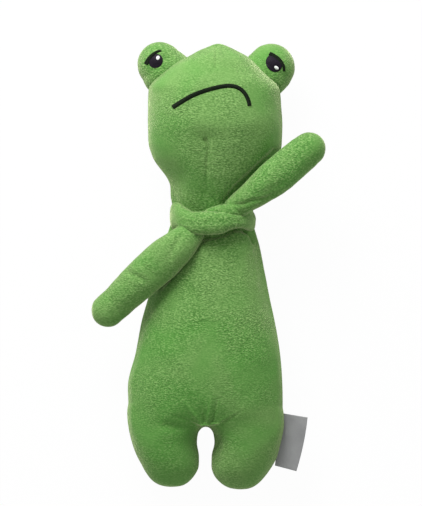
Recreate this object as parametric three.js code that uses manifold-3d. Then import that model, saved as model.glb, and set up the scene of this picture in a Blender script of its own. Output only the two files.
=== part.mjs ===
// A plush frog for dogs, lying on its back with its two long arms tied in one overhand knot at the neck.
// Millimetres. +X is the viewer's right, +Y points to the head, +Z is up, out of the belly.
// The origin is on the flat of the back, under the hips. Left and right are as seen from the front.
import * as THREE from "three";
import { mergeVertices } from "three/addons/utils/BufferGeometryUtils.js";
import Module from "manifold-3d";

const wasm = await Module();
wasm.setup();

// Cloth, gaps and the flat that the back lies on
const WALL = 1.6;
const GAP = 0.3;
const MOVING_GAP = 0.5;
const THREAD = 1.1;
const REST_CUT = 0.5;

// Torso: full widths and depths at places along the body
const HIPS = { at: -4, wide: 118, deep: 69 };
const SEAT = { at: -24, deep: 61 };
const CROTCH_AT = -32;
const WAIST = { at: 46, wide: 102, deep: 62 };
const CHEST = { at: 86, wide: 80, deep: 53 };
const SHOULDERS = { at: 109, wide: 69, deep: 46 };
const COLLAR_AT = 118;
const TORSO_SEAM = HIPS.deep / 2 - REST_CUT;

// Head, from the ball of the neck up to the crown
const NECK_AT = 126;
const NECK_BALL = { wide: 48, deep: 34 };
const THROAT = { at: 141, wide: 62, deep: 47 };
const JAW = { at: 157, wide: 72, deep: 58 };
const CHIN = { at: 172, wide: 96, deep: 74 };
const FACE = { at: 198, wide: 104, deep: 82 };
const BROW = { at: 224, wide: 97, deep: 74 };
const TEMPLE = { at: 240, wide: 69, deep: 56 };
const POLL = { at: 252, wide: 43, deep: 34 };
const CROWN_AT = 258.5;
const HEAD_SEAM = FACE.deep / 2 - REST_CUT;

// Eye knobs: stuffed balls, wider than deep, sewn into the sides of the crown
const KNOB = { side: 41, at: 242, rise: 28, wide: 37, round: 37.4 };

// Legs: a ball at the hip and a short foot below it
const HIP_BALL = 53;
const HIP_AT = -34;
const HIP_DROP = 3;
const THIGH = { down: 11, wide: 49.5, deep: 47, inward: 1.5 };
const SHIN = { down: 25, wide: 45, deep: 42, inward: 4 };
const FOOT = { down: 36, wide: 34, deep: 31, inward: 6 };
const FOOT_END = 43.5;

// Arms: tubes with a ball at the knot, each at its own heading
const ARM_BALL = 24;
const ARM_FULLEST = 0.4;
const ARM_TIP = { wide: 0.96, deep: 0.9 };
const LOWERED = {
  side: -25.3,
  at: 106.8,
  rise: 63,
  heading: 225.3,
  dip: 9,
  upper: 28.8,
  lower: 25.6,
  length: 85.5,
};
const RAISED = {
  side: 30.6,
  at: 142.4,
  rise: 67,
  heading: 42.4,
  dip: 0,
  upper: 26.4,
  lower: 24.5,
  length: 70.5,
};

// Knot: the strands that run from the shoulders round the front of the neck to the two arms
const FRONT_STRAND = { high: 24, thick: 17, rise: 66, climb: 0 };
const REAR_STRAND = { high: 20, thick: 14, rise: 58, climb: 5 };
const STRAND = { side: 25.5, foot: 5, footRise: 4, footShare: 0.9, turn: 1, turnRise: 17, drop: 5, tip: 4 };

// Embroidery: the mouth and the eyes, seen from the front
const MOUTH = { line: 3.8, points: [[-32.6, 210.5], [-18.3, 218.9], [2, 226.8], [16, 223.6], [25.9, 213.5]] };
const PUPIL = { centre: [4.3, 4.2], round: 12.4 };
const LID = { outer: [12.1, 0.6], inner: [-0.1, 11.6], line: 3 };
const GLINT = 4;
const GLINTS = [[-2, 4.3], [5.9, 0.6]];

// Side label: a folded ribbon in the seam of the right leg
const LABEL = { from: -23, to: -60, reach: 17, layer: 0.5, slit: 0.3, slant: 5.6, inset: 4 };

// Squeaker: two cups and a bellows in the middle of the belly
const SQUEAKER = { at: 22, round: 44, tall: 26, cup: 6, wall: 1.2, folds: 3, foldDepth: 4 };
const REED = { round: 12, long: 11, bore: 7, blade: 0.6, lip: 1.5, recess: 1 };

// Steps of the motions that pieces make room for, in degrees
const SWINGS = [0, -17, -34];
const NODS = [0, -12, -25];
const FLAPS = [-50, -25, 0, 25, 50];

// Facets, the share of a bag's rings that crowd to its ends, and the sizes of slivers that are merged
const END_SHARE = 0.35;
const SAME_POINT = 1e-4;
const SLIVER = 0.03;
const CURVE = 5;
const RINGS = { torso: 11, head: 13, leg: 9, arm: 10 };
const SIDES = { torso: 20, head: 20, leg: 14, arm: 10, knob: 12, strand: 8, socket: 16, lathe: 20 };
const STRAND_RINGS = 4;
const LINE_STEPS = { mouth: 9, lid: 2 };

const PLUSH = { color: 0x6a9d53, roughness: 0.95, metalness: 0 };
const FIBRE = { color: 0xf1efe8, roughness: 1, metalness: 0 };
const BLACK_THREAD = { color: 0x14181a, roughness: 0.55, metalness: 0 };
const WHITE_THREAD = { color: 0xe9ebe6, roughness: 0.55, metalness: 0 };
const RIBBON = { color: 0x8b8d8c, roughness: 0.8, metalness: 0 };
const VINYL = { color: 0xe6e3d4, roughness: 0.45, metalness: 0 };
const REED_PLASTIC = { color: 0xd9483b, roughness: 0.4, metalness: 0 };

// A closed geometry as a solid that can be joined and cut
function solid(geometry) {
  const bare = geometry.index ? geometry.toNonIndexed() : geometry.clone();
  bare.deleteAttribute("normal");
  bare.deleteAttribute("uv");
  const merged = mergeVertices(bare, SAME_POINT);
  return new wasm.Manifold(
    new wasm.Mesh({
      numProp: 3,
      vertProperties: merged.attributes.position.array,
      triVerts: new Uint32Array(merged.index.array),
    }),
  );
}

// The largest body of a cut solid, so that no crumb stays beside it
function largest(cut) {
  const bodies = cut.decompose();
  return bodies.reduce((best, body) => (body.volume() > best.volume() ? body : best));
}

// The slope of a smooth curve at a key: level at a peak or a hollow, and never past its neighbours
function slope(before, here, after) {
  const [rise, next] = [here - before, after - here];
  return rise * next > 0 ? (2 * rise * next) / (rise + next) : 0;
}

// A value between keys at t, on a smooth curve that also rounds the closed ends
function between(keys, field, mirrored, t) {
  const last = keys.length - 1;
  const i = Math.min(Math.floor(t), last - 1);
  const f = t - i;
  const sign = mirrored ? -1 : 1;
  const before = i > 0 ? keys[i - 1][field] : sign * keys[1][field];
  const after = i < last - 1 ? keys[i + 2][field] : sign * keys[last - 1][field];
  const [a, b] = [keys[i][field], keys[i + 1][field]];
  const slopeIn = slope(before, a, b);
  const slopeOut = slope(a, b, after);
  const curve = 2 * a - 2 * b + slopeIn + slopeOut;
  return a + f * (slopeIn + f * (3 * (b - a) - 2 * slopeIn - slopeOut + f * curve));
}

// Keys of the round end of a bag: a quarter oval from its pole to its middle
function roundEnd({ at, side = 0, rise = 0 }, wide, deep, long, way) {
  return [90, 60, 30, 0].map((degrees) => {
    const angle = THREE.MathUtils.degToRad(degrees);
    const share = Math.cos(angle);
    const reach = way * (long / 2) * Math.sin(angle);
    return { at: at + reach, wide: wide * share, deep: deep * share, side, rise };
  });
}

// A stuffed form: oval rings along Y through the keys, closed to a point at both ends.
// Each key has at, wide and deep, and may have side and rise for its middle.
function bag(keys, rings, sides, grow = 0) {
  const filled = keys.map((key) => ({ wide: 0, deep: 0, side: 0, rise: 0, ...key }));
  const last = filled.length - 1;
  if (filled[0].at > filled[last].at) filled.reverse();
  const at = (t, angle) => {
    const half = Math.max(between(filled, "wide", true, t) / 2, 0);
    const depth = Math.max(between(filled, "deep", true, t) / 2, 0);
    return new THREE.Vector3(
      between(filled, "side", false, t) + half * Math.cos(angle),
      between(filled, "at", false, t),
      between(filled, "rise", false, t) + depth * Math.sin(angle),
    );
  };
  const step = 1e-3;
  const point = (t, angle) => {
    const here = at(t, angle);
    const along = at(t + step, angle).sub(at(t - step, angle));
    const round = at(t, angle + step).sub(at(t, angle - step));
    return here.addScaledVector(round.cross(along).normalize(), -grow);
  };
  const pole = (key, way) => [key.side, key.at + way * grow, key.rise];
  const positions = [...pole(filled[0], -1)];
  for (let ring = 1; ring < rings; ring += 1) {
    const even = (1 - Math.cos((Math.PI * ring) / rings)) / 2;
    const t = last * (END_SHARE * even + (1 - END_SHARE) * (ring / rings));
    for (let side = 0; side < sides; side += 1) {
      positions.push(...point(t, (2 * Math.PI * side) / sides).toArray());
    }
  }
  positions.push(...pole(filled[last], 1));
  return solid(ringGeometry(positions, rings - 1, sides));
}

// Triangles over rings of points with a single point before the first and after the last
function ringGeometry(positions, rings, sides) {
  const index = [];
  const last = positions.length / 3 - 1;
  const id = (ring, side) => 1 + ring * sides + (side % sides);
  for (let side = 0; side < sides; side += 1) {
    index.push(0, id(0, side), id(0, side + 1));
    index.push(last, id(rings - 1, side + 1), id(rings - 1, side));
    for (let ring = 0; ring < rings - 1; ring += 1) {
      const [a, b] = [id(ring, side), id(ring, side + 1)];
      const [c, d] = [id(ring + 1, side), id(ring + 1, side + 1)];
      index.push(a, c, b, b, c, d);
    }
  }
  const geometry = new THREE.BufferGeometry();
  geometry.setAttribute("position", new THREE.Float32BufferAttribute(positions, 3));
  geometry.setIndex(index);
  return geometry;
}

// A ball or oval with its own size along each axis, grown by the same amount all over.
// A socket's facets lie outside the true ball, so that the ball turns in it.
function ball([x, y, z], [wide, long, deep], sides, grow = 0, socket = false) {
  const radius = socket ? 1 / Math.cos(Math.PI / sides) ** 2 : 1;
  const geometry = new THREE.SphereGeometry(radius, sides, Math.round(sides / 2));
  geometry.rotateZ(Math.PI / 2);
  geometry.scale(wide / 2 + grow, long / 2 + grow, deep / 2 + grow);
  geometry.translate(x, y, z);
  return solid(geometry);
}

// A stuffed tube along a curve; each key is a point with its high and thick sizes
function strand(keys, grow = 0) {
  const curve = new THREE.CatmullRomCurve3(keys.map((key) => new THREE.Vector3(...key.point)));
  const rings = STRAND_RINGS * (keys.length - 1);
  const up = new THREE.Vector3(0, 1, 0);
  const positions = [];
  const tip = (t, way) => curve.getPoint(t).addScaledVector(curve.getTangent(t), way * (STRAND.tip + grow));
  positions.push(...tip(0, -1).toArray());
  for (let ring = 0; ring <= rings; ring += 1) {
    const t = ring / rings;
    const k = Math.min(Math.floor(t * (keys.length - 1)), keys.length - 2);
    const f = t * (keys.length - 1) - k;
    const high = THREE.MathUtils.lerp(keys[k].high, keys[k + 1].high, f) / 2 + grow;
    const thick = THREE.MathUtils.lerp(keys[k].thick, keys[k + 1].thick, f) / 2 + grow;
    const tangent = curve.getTangent(t);
    const across = up.clone().addScaledVector(tangent, -up.dot(tangent)).normalize();
    const outward = new THREE.Vector3().crossVectors(across, tangent);
    for (let side = 0; side < SIDES.strand; side += 1) {
      const angle = (2 * Math.PI * side) / SIDES.strand;
      const spot = curve.getPoint(t).addScaledVector(across, high * Math.cos(angle));
      positions.push(...spot.addScaledVector(outward, thick * Math.sin(angle)).toArray());
    }
  }
  positions.push(...tip(1, 1).toArray());
  return solid(ringGeometry(positions, rings + 1, SIDES.strand));
}

// A turned solid about Z from a closed outline of [radius, height] points
function turned(outline, sides = SIDES.lathe) {
  const points = outline.map(([radius, height]) => new THREE.Vector2(radius, height));
  if (outline[0][0] > 0) points.push(points[0].clone());
  return solid(new THREE.LatheGeometry(points, sides).rotateX(Math.PI / 2));
}

// A closed outline drawn out along Z
function extruded(shape, depth) {
  return new THREE.ExtrudeGeometry(shape, { depth, bevelEnabled: false, curveSegments: CURVE });
}

// A solid turned by some degrees about an axis through a point
function about(whole, [x, y, z], axis, degrees) {
  const angle = THREE.MathUtils.degToRad(degrees);
  const turn = new THREE.Matrix4().makeRotationAxis(new THREE.Vector3(...axis).normalize(), angle);
  return whole.translate(-x, -y, -z).transform(turn.elements).translate(x, y, z);
}

// The part of a solid on one side of a plane through a point, without slivers along its edges
function sideOf(whole, normal, through) {
  const offset = normal[0] * through[0] + normal[1] * through[1] + normal[2] * through[2];
  return largest(whole.trimByPlane(normal, offset)).simplify(SLIVER);
}

// A form as the sewn toy has it: a front and a back panel of cloth, and the filling between them.
// make(grow) gives the form, cutters are taken out of it, and the seam plane has a point and its up.
function stuffed(make, cutters, seam, up = [0, 0, 1]) {
  const cut = (whole) => cutters.reduce((left, cutter) => left.subtract(cutter), whole);
  const skin = cut(make(0).subtract(make(-WALL)));
  const filling = largest(cut(make(-WALL - GAP)));
  const down = up.map((value) => -value);
  const shifted = (way) => seam.map((value, i) => value + up[i] * way * (GAP / 2));
  return { front: sideOf(skin, up, shifted(1)), back: sideOf(skin, down, shifted(-1)), filling };
}

// The solid above the floor that the toy lies on
const aboveFloor = (whole) => largest(whole.trimByPlane([0, 0, 1], 0));

// The hip balls reach the hips' sides, and the seat is as wide as they are there
const HIP_SIDE = (HIPS.wide - HIP_BALL) / 2;
const hipChord = Math.sqrt((HIP_BALL / 2) ** 2 - (SEAT.at - HIP_AT) ** 2);
const seatWide = 2 * (HIP_SIDE + hipChord);

// Torso form
const torsoKeys = [
  { at: CROTCH_AT },
  { ...SEAT, wide: seatWide },
  HIPS,
  WAIST,
  CHEST,
  SHOULDERS,
  { at: COLLAR_AT },
].map((key) => ({ ...key, rise: TORSO_SEAM }));
const torsoForm = (grow) => aboveFloor(bag(torsoKeys, RINGS.torso, SIDES.torso, grow));

// Head form: its lower end is round about the nod axis
const NECK = { at: NECK_AT, side: 0, rise: TORSO_SEAM };
const neckEnd = roundEnd(NECK, NECK_BALL.wide, NECK_BALL.deep, NECK_BALL.deep, -1);
const headKeys = [
  ...neckEnd,
  { ...THROAT, rise: TORSO_SEAM },
  { ...JAW, rise: (TORSO_SEAM + HEAD_SEAM) / 2 },
  { ...CHIN, rise: HEAD_SEAM },
  { ...FACE, rise: HEAD_SEAM },
  { ...BROW, rise: HEAD_SEAM },
  { ...TEMPLE, rise: HEAD_SEAM },
  { ...POLL, rise: HEAD_SEAM },
  { at: CROWN_AT, rise: HEAD_SEAM },
];
const headForm = (grow) => aboveFloor(bag(headKeys, RINGS.head, SIDES.head, grow));
const pointOf = ({ side, at, rise }) => [side, at, rise];
const neckSocket = ball(
  pointOf(NECK),
  [NECK_BALL.wide, NECK_BALL.deep, NECK_BALL.deep],
  SIDES.socket,
  MOVING_GAP,
  true,
);

// Eye knobs, round about the axis that they wobble on
const knobAt = (way) => [way * KNOB.side, KNOB.at, KNOB.rise];
const knobSize = [KNOB.wide, KNOB.round, KNOB.round];
const knobForm = (way) => (grow) => ball(knobAt(way), knobSize, SIDES.knob, grow);
const knobSocket = (way) => ball(knobAt(way), knobSize, SIDES.knob, MOVING_GAP, true);

// Legs: a ball at the hip that sits in the torso, and the foot below it
const hip = (way) => ({ side: way * HIP_SIDE, at: HIP_AT, rise: TORSO_SEAM - HIP_DROP });
const legForm = (way) => (grow) => {
  const top = hip(way);
  const keys = [
    ...roundEnd(top, HIP_BALL, HIP_BALL, HIP_BALL, 1),
    ...[THIGH, SHIN, FOOT].map((key) => ({
      ...key,
      at: top.at - key.down,
      side: top.side - way * key.inward,
      rise: top.rise,
    })),
    { at: top.at - FOOT_END, side: top.side - way * FOOT.inward, rise: top.rise },
  ];
  return bag(keys, RINGS.leg, SIDES.leg, grow);
};
const hipSocket = (way) =>
  ball(pointOf(hip(way)), [HIP_BALL, HIP_BALL, HIP_BALL], SIDES.socket, MOVING_GAP, true);

// Arms: made along Y from the ball, then turned to their heading and dip
const armAt = (arm) => [arm.side, arm.at, arm.rise];
const armUp = ({ heading, dip }) => {
  const [turn, fall] = [heading, dip].map(THREE.MathUtils.degToRad);
  return [Math.cos(turn) * Math.sin(fall), Math.sin(turn) * Math.sin(fall), Math.cos(fall)];
};
const armForm = (arm) => (grow) => {
  const keys = [
    ...roundEnd({ at: 0 }, ARM_BALL, ARM_BALL, ARM_BALL, -1),
    { at: arm.length * ARM_FULLEST, wide: arm.upper, deep: arm.upper },
    { at: arm.length - arm.lower / 2, wide: arm.lower * ARM_TIP.wide, deep: arm.lower * ARM_TIP.deep },
    { at: arm.length },
  ];
  const tube = bag(keys, RINGS.arm, SIDES.arm, grow);
  const laid = tube.rotate([-arm.dip, 0, 0]).rotate([0, 0, arm.heading - 90]);
  return laid.translate(armAt(arm));
};
const armSocket = (arm) =>
  ball(armAt(arm), [ARM_BALL, ARM_BALL, ARM_BALL], SIDES.knob, MOVING_GAP, true);

// Knot strands, from a shoulder round the front of the neck to an arm's ball
const strandKeys = ({ high, thick, rise, climb }, way, arm) => {
  const heading = THREE.MathUtils.degToRad(arm.heading);
  const back = ARM_BALL / 4;
  const toArm = [arm.side - back * Math.cos(heading), arm.at - back * Math.sin(heading), arm.rise];
  const { side, foot, footRise, footShare, turn, turnRise, drop } = STRAND;
  return [
    { point: [way * side, COLLAR_AT + foot, TORSO_SEAM + footRise], high: high * footShare, thick },
    { point: [way * side, NECK_AT - turn, TORSO_SEAM + turnRise], high, thick },
    { point: [(way * side) / 2, NECK_AT + turn + climb, rise - drop], high, thick },
    { point: [0, NECK_AT + climb, rise], high, thick },
    { point: toArm, high: ARM_BALL, thick: ARM_BALL - 2 * GAP },
  ];
};
const frontStrand = (grow) => strand(strandKeys(FRONT_STRAND, 1, LOWERED), grow);
const rearStrand = (grow) => strand(strandKeys(REAR_STRAND, -1, RAISED), grow);

// A strand as a sleeve of cloth, open at the arm, and its filling
function sleeve(make, cutters) {
  const cut = (whole) => cutters.reduce((left, cutter) => left.subtract(cutter), whole);
  const cover = largest(cut(make(0).subtract(make(-WALL))));
  const cloth = make(0).subtract(make(-WALL - GAP));
  return { cover, filling: largest(cut(make(-WALL - 2 * GAP)).subtract(cloth)) };
}

// Solids of the body, head and limbs
const ways = [-1, 1];
const torsoParts = stuffed(torsoForm, [neckSocket, ...ways.map(hipSocket)], [0, 0, TORSO_SEAM]);
const headLean = Math.atan2(HEAD_SEAM - TORSO_SEAM, FACE.at - NECK_AT);
const headUp = [0, -Math.sin(headLean), Math.cos(headLean)];
const headParts = stuffed(headForm, ways.map(knobSocket), pointOf(NECK), headUp);
const legParts = ways.map((way) => stuffed(legForm(way), [], pointOf(hip(way))));
const knobParts = ways.map((way) => stuffed(knobForm(way), [], knobAt(way)));
const arms = [RAISED, LOWERED];

// Forms at the steps of a motion: the arms clear the body, and the knot clears the arms and the head
const swung = (whole, arm, way) => SWINGS.map((swing) => about(whole, armAt(arm), [0, 0, 1], way * swing));
const nodded = NODS.map((nod) => about(headForm(MOVING_GAP), pointOf(NECK), [1, 0, 0], nod));
const armCutters = (arm) =>
  [torsoForm(MOVING_GAP), headForm(MOVING_GAP)].flatMap((whole) => swung(whole, arm, -1));
const armParts = arms.map((arm) => stuffed(armForm(arm), armCutters(arm), armAt(arm), armUp(arm)));
const swept = arms.flatMap((arm) => swung(armForm(arm)(MOVING_GAP), arm, 1));
const knotCutters = [torsoForm(GAP), ...nodded, ...arms.map(armSocket), ...swept];
const frontKnot = sleeve(frontStrand, knotCutters);
const rearKnot = sleeve(rearStrand, [frontStrand(GAP), ...knotCutters]);

// A layer of thread on a form, inside an outline seen from the front
function patch(make, shape, above) {
  const column = extruded(shape, HEAD_SEAM).translate(0, 0, above);
  return make(GAP + THREAD).subtract(make(GAP)).intersect(solid(column));
}

// The outline of a line of thread along a curve, with square ends
function lineShape(points, width, steps) {
  const curve = new THREE.SplineCurve(points.map(([x, y]) => new THREE.Vector2(x, y)));
  const edge = (way) =>
    Array.from({ length: steps + 1 }, (_, i) => {
      const tangent = curve.getTangent(i / steps);
      const across = new THREE.Vector2(-tangent.y, tangent.x);
      return curve.getPoint(i / steps).addScaledVector(across, (way * width) / 2);
    });
  return new THREE.Shape([...edge(1), ...edge(-1).reverse()]);
}

const mouth = largest(patch(headForm, lineShape(MOUTH.points, MOUTH.line, LINE_STEPS.mouth), HEAD_SEAM));

// One eye: a lid line, the pupil under it and a white glint in the pupil
function eye(way, glintAt) {
  const [x, y, z] = knobAt(way);
  const form = knobForm(way);
  const spot = ([side, up]) => [x + way * side, y + up];
  const disc = ([cx, cy], round) => new THREE.Shape().absarc(cx, cy, round / 2, 0, 2 * Math.PI);
  const [outer, inner] = [LID.outer, LID.inner].map(spot);
  const glintSpot = [x + glintAt[0], y + glintAt[1]];
  const lid = patch(form, lineShape([outer, inner], LID.line, LINE_STEPS.lid), z);
  const glint = patch(form, disc(glintSpot, GLINT), z);
  const hole = solid(extruded(disc(glintSpot, GLINT + 2 * GAP), HEAD_SEAM).translate(0, 0, z));
  const drilled = patch(form, disc(spot(PUPIL.centre), PUPIL.round), z).subtract(hole);
  const lean = Math.atan2(LID.inner[1] - LID.outer[1], LID.outer[0] - LID.inner[0]);
  const below = [-way * Math.sin(lean), -Math.cos(lean), 0];
  const edge = [...outer, 0].map((value, i) => value + below[i] * (LID.line / 2 + GAP));
  return { lid: largest(lid), glint: largest(glint), pupil: sideOf(drilled, below, edge) };
}
const eyes = ways.map((way, i) => eye(way, GLINTS[i]));

// The side label: a ribbon folded in two, its open end in the seam of the right leg.
// Its root clears the leg and the torso as far as the ribbon flaps.
function label() {
  const { from, to, reach, layer, slit, slant, inset } = LABEL;
  const hem = hip(1).side + HIP_BALL / 2 + GAP;
  const [root, half] = [hem - inset, layer + slit / 2];
  const fold = hem + reach - half;
  const outline = new THREE.Shape();
  outline.moveTo(root, -half);
  outline.lineTo(fold, -half);
  outline.absarc(fold, 0, half, -Math.PI / 2, Math.PI / 2);
  outline.lineTo(root, half);
  outline.lineTo(root, slit / 2);
  outline.lineTo(fold, slit / 2);
  outline.lineTo(fold, -slit / 2);
  outline.lineTo(root, -slit / 2);
  const shear = new THREE.Matrix4().makeShear(0, 0, slant / (from - to), 0, 0, 0);
  const ribbon = extruded(outline, from - to).rotateX(Math.PI / 2).applyMatrix4(shear);
  const laid = solid(ribbon.translate(0, from, hip(1).rise));
  const seam = [slant, from - to, 0];
  const body = [legForm(1)(GAP), torsoForm(GAP)];
  const start = [hem, from, hip(1).rise];
  const clear = FLAPS.flatMap((flap) => body.map((whole) => about(whole, start, seam, flap)));
  return largest(clear.reduce((left, cutter) => left.subtract(cutter), laid));
}

// The squeaker in its pocket in the filling
const { round: puck, tall, cup, wall, folds } = SQUEAKER;
const squeakAt = [0, SQUEAKER.at, TORSO_SEAM];
const middled = (made) => made.translate(squeakAt);
const bowl = (way, hole) => {
  const [rim, base] = [(tall / 2 - cup) * way, (tall / 2) * way];
  const outline = [
    [hole, base],
    [puck / 2 - wall, base],
    [puck / 2, base - way * wall],
    [puck / 2, rim],
    [puck / 2 - wall, rim],
    [puck / 2 - wall, base - way * wall],
    [hole, base - way * wall],
  ];
  return middled(turned(way < 0 ? outline : outline.reverse()));
};
const bellows = () => {
  const top = tall / 2 - cup - GAP;
  const rows = Array.from({ length: 2 * folds + 1 }, (_, i) => {
    const fold = i % 2 ? SQUEAKER.foldDepth : 0;
    return [puck / 2 - fold, -top + (i * top) / folds];
  });
  const inside = rows.map(([radius, height]) => [radius - wall, height]).reverse();
  return middled(turned([...rows, ...inside]));
};
const reedSeat = REED.round / 2 + GAP;
const reedHolder = () => {
  const [bore, outer, lip] = [REED.bore / 2, REED.round / 2, REED.round / 2 + REED.lip];
  const face = tall / 2 + GAP;
  const outline = [
    [bore, face - REED.long],
    [outer, face - REED.long],
    [outer, face],
    [lip, face],
    [lip, face + wall],
    [bore, face + wall],
  ];
  return middled(turned(outline));
};
const reed = () => {
  const blade = new THREE.BoxGeometry(REED.bore - 4 * GAP, REED.blade, REED.long - 2 * REED.recess);
  return middled(solid(blade.translate(0, 0, tall / 2 - REED.long / 2)));
};
const pocket = middled(
  turned([
    [0, -tall / 2 - MOVING_GAP],
    [puck / 2 + MOVING_GAP, -tall / 2 - MOVING_GAP],
    [puck / 2 + MOVING_GAP, tall / 2 + wall + 2 * MOVING_GAP],
    [0, tall / 2 + wall + 2 * MOVING_GAP],
  ]),
);
const hollow = torsoParts.filling.subtract(pocket);
const torsoFilling = ways.map((way) =>
  sideOf(hollow, [0, 0, way], [0, 0, TORSO_SEAM + way * (GAP / 2)]),
);

// Scene graph: one group for each piece that moves, placed at its joint
const toy = new THREE.Group();
function group(name, parent, origin) {
  const made = new THREE.Group();
  made.name = name;
  made.userData.origin = origin;
  const from = parent.userData.origin ?? [0, 0, 0];
  made.position.set(...origin.map((value, i) => value - from[i]));
  parent.add(made);
  return made;
}
function add(parent, name, shape, finish) {
  const { vertProperties, triVerts, numProp } = shape.getMesh();
  const origin = parent.userData.origin;
  const positions = new Float32Array((vertProperties.length / numProp) * 3);
  for (let i = 0; i < positions.length; i += 3) {
    const from = (i / 3) * numProp;
    for (let axis = 0; axis < 3; axis += 1) {
      positions[i + axis] = vertProperties[from + axis] - origin[axis];
    }
  }
  const geometry = new THREE.BufferGeometry();
  geometry.setAttribute("position", new THREE.BufferAttribute(positions, 3));
  geometry.setIndex(new THREE.BufferAttribute(triVerts, 1));
  geometry.computeVertexNormals();
  const mesh = new THREE.Mesh(geometry, new THREE.MeshStandardMaterial(finish));
  mesh.name = name;
  parent.add(mesh);
}
function addStuffed(parent, name, parts) {
  add(parent, `${name}_front_panel`, parts.front, PLUSH);
  add(parent, `${name}_back_panel`, parts.back, PLUSH);
  add(parent, `${name}_filling`, parts.filling, FIBRE);
}

const torso = group("torso", toy, [0, 0, 0]);
add(torso, "torso_front_panel", torsoParts.front, PLUSH);
add(torso, "torso_back_panel", torsoParts.back, PLUSH);
add(torso, "torso_back_filling", torsoFilling[0], FIBRE);
add(torso, "torso_front_filling", torsoFilling[1], FIBRE);
add(torso, "knot_front_cover", frontKnot.cover, PLUSH);
add(torso, "knot_front_filling", frontKnot.filling, FIBRE);
add(torso, "knot_rear_cover", rearKnot.cover, PLUSH);
add(torso, "knot_rear_filling", rearKnot.filling, FIBRE);
add(torso, "squeaker_back_cup", bowl(-1, 0), VINYL);
add(torso, "squeaker_bellows", bellows(), VINYL);

const squeakerFront = group("squeaker_front", torso, squeakAt);
add(squeakerFront, "squeaker_front_cup", bowl(1, reedSeat), VINYL);
add(squeakerFront, "squeaker_reed_holder", reedHolder(), REED_PLASTIC);
add(squeakerFront, "squeaker_reed", reed(), VINYL);

const head = group("head", torso, pointOf(NECK));
addStuffed(head, "head", headParts);
add(head, "mouth_stitching", mouth, BLACK_THREAD);
["left", "right"].forEach((name, i) => {
  const knob = group(`${name}_eye`, head, knobAt(ways[i]));
  addStuffed(knob, `${name}_eye`, knobParts[i]);
  add(knob, `${name}_eye_lid_stitching`, eyes[i].lid, BLACK_THREAD);
  add(knob, `${name}_eye_pupil_stitching`, eyes[i].pupil, BLACK_THREAD);
  add(knob, `${name}_eye_glint_stitching`, eyes[i].glint, WHITE_THREAD);
  addStuffed(group(`${name}_leg`, torso, pointOf(hip(ways[i]))), `${name}_leg`, legParts[i]);
});
["raised_arm", "lowered_arm"].forEach((name, i) => {
  addStuffed(group(name, torso, armAt(arms[i])), name, armParts[i]);
});
add(group("label", torso, pointOf(hip(1))), "side_label", label(), RIBBON);

export default toy;
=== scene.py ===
"""A plush frog for dogs, on its back with its long arms tied at the neck, dressed for its photograph.

Millimetres in the classes' fields and in every shape function, metres in the meshes.
+X is the viewer's right, +Y points to the head and +Z is up, out of the belly.
"""

import logging
import math
from dataclasses import dataclass
from enum import Enum
from functools import cached_property

import bmesh
import bpy
import numpy as np
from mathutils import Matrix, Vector


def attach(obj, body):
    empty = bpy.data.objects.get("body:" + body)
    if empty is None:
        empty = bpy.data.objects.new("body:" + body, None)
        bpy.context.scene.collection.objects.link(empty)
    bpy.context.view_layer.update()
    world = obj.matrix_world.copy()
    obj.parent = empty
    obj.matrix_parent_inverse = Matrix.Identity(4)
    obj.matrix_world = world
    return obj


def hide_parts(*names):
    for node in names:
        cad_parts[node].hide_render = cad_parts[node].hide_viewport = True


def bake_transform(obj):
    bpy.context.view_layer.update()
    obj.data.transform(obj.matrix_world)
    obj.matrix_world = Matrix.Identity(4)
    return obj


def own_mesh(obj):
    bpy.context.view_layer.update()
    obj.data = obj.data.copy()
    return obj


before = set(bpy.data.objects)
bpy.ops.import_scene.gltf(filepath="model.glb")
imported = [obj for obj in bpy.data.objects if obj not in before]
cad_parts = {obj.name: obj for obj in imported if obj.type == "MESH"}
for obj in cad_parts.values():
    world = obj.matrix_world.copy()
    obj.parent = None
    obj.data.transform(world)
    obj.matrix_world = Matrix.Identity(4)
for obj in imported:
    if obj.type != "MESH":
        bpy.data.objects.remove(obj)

LOG = logging.getLogger("plush_frog")
MM = 0.001
DROP_FROM = 150.0
READS_PER_KNOT = 40
CELLS_PER_REACH = 2.5
BLUR_REACHES = 3
Array = np.ndarray
Point = tuple[float, float, float]
Spot = tuple[float, float]
Colour = tuple[float, float, float, float]
Socket = bpy.types.NodeSocket
Feed = Socket | float | tuple
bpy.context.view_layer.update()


# Curves and grids


def cubic(values: Array, slope: Array, step: Array, k: Array, f: Array) -> Array:
    """Read the cubics between value k and the next one.

    Formula: both values and both slopes, weighed by the four Hermite polynomials of f.

    Args:
        values: Value at each knot.
        slope: Slope at each knot.
        step: Length of the piece that each place lies in.
        k: Number of the knot before each place.
        f: Share of its piece at which each place lies, from 0 to 1.

    Returns:
        The value at each place.
    """
    start = (1 + 2 * f) * (1 - f) ** 2 * values[k] + f * (1 - f) ** 2 * step * slope[k]
    end = f**2 * (3 - 2 * f) * values[k + 1] - f**2 * (1 - f) * step * slope[k + 1]
    return start + end


def smooth_curve(knots: Array, values: Array, at: Array) -> Array:
    """Read a smooth curve through knots that never swings past its values.

    Formula: between two knots a cubic with the harmonic mean of the neighbouring slopes at
    each knot, or nought where the values turn.

    Args:
        knots: Places of the knots, rising.
        values: Value at each knot.
        at: Places to read.

    Returns:
        The value at each place.
    """
    step = np.diff(knots)
    rise = np.diff(values) / step
    both = rise[:-1] * rise[1:]
    total = np.where(both > 0, rise[:-1] + rise[1:], 1.0)
    slope = np.concatenate([[rise[0]], np.where(both > 0, 2 * both / total, 0.0), [rise[-1]]])
    at = np.clip(at, knots[0], knots[-1])
    k = np.clip(np.searchsorted(knots, at, side="right") - 1, 0, len(step) - 1)
    return cubic(values, slope, step[k], k, (at - knots[k]) / step[k])


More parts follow.
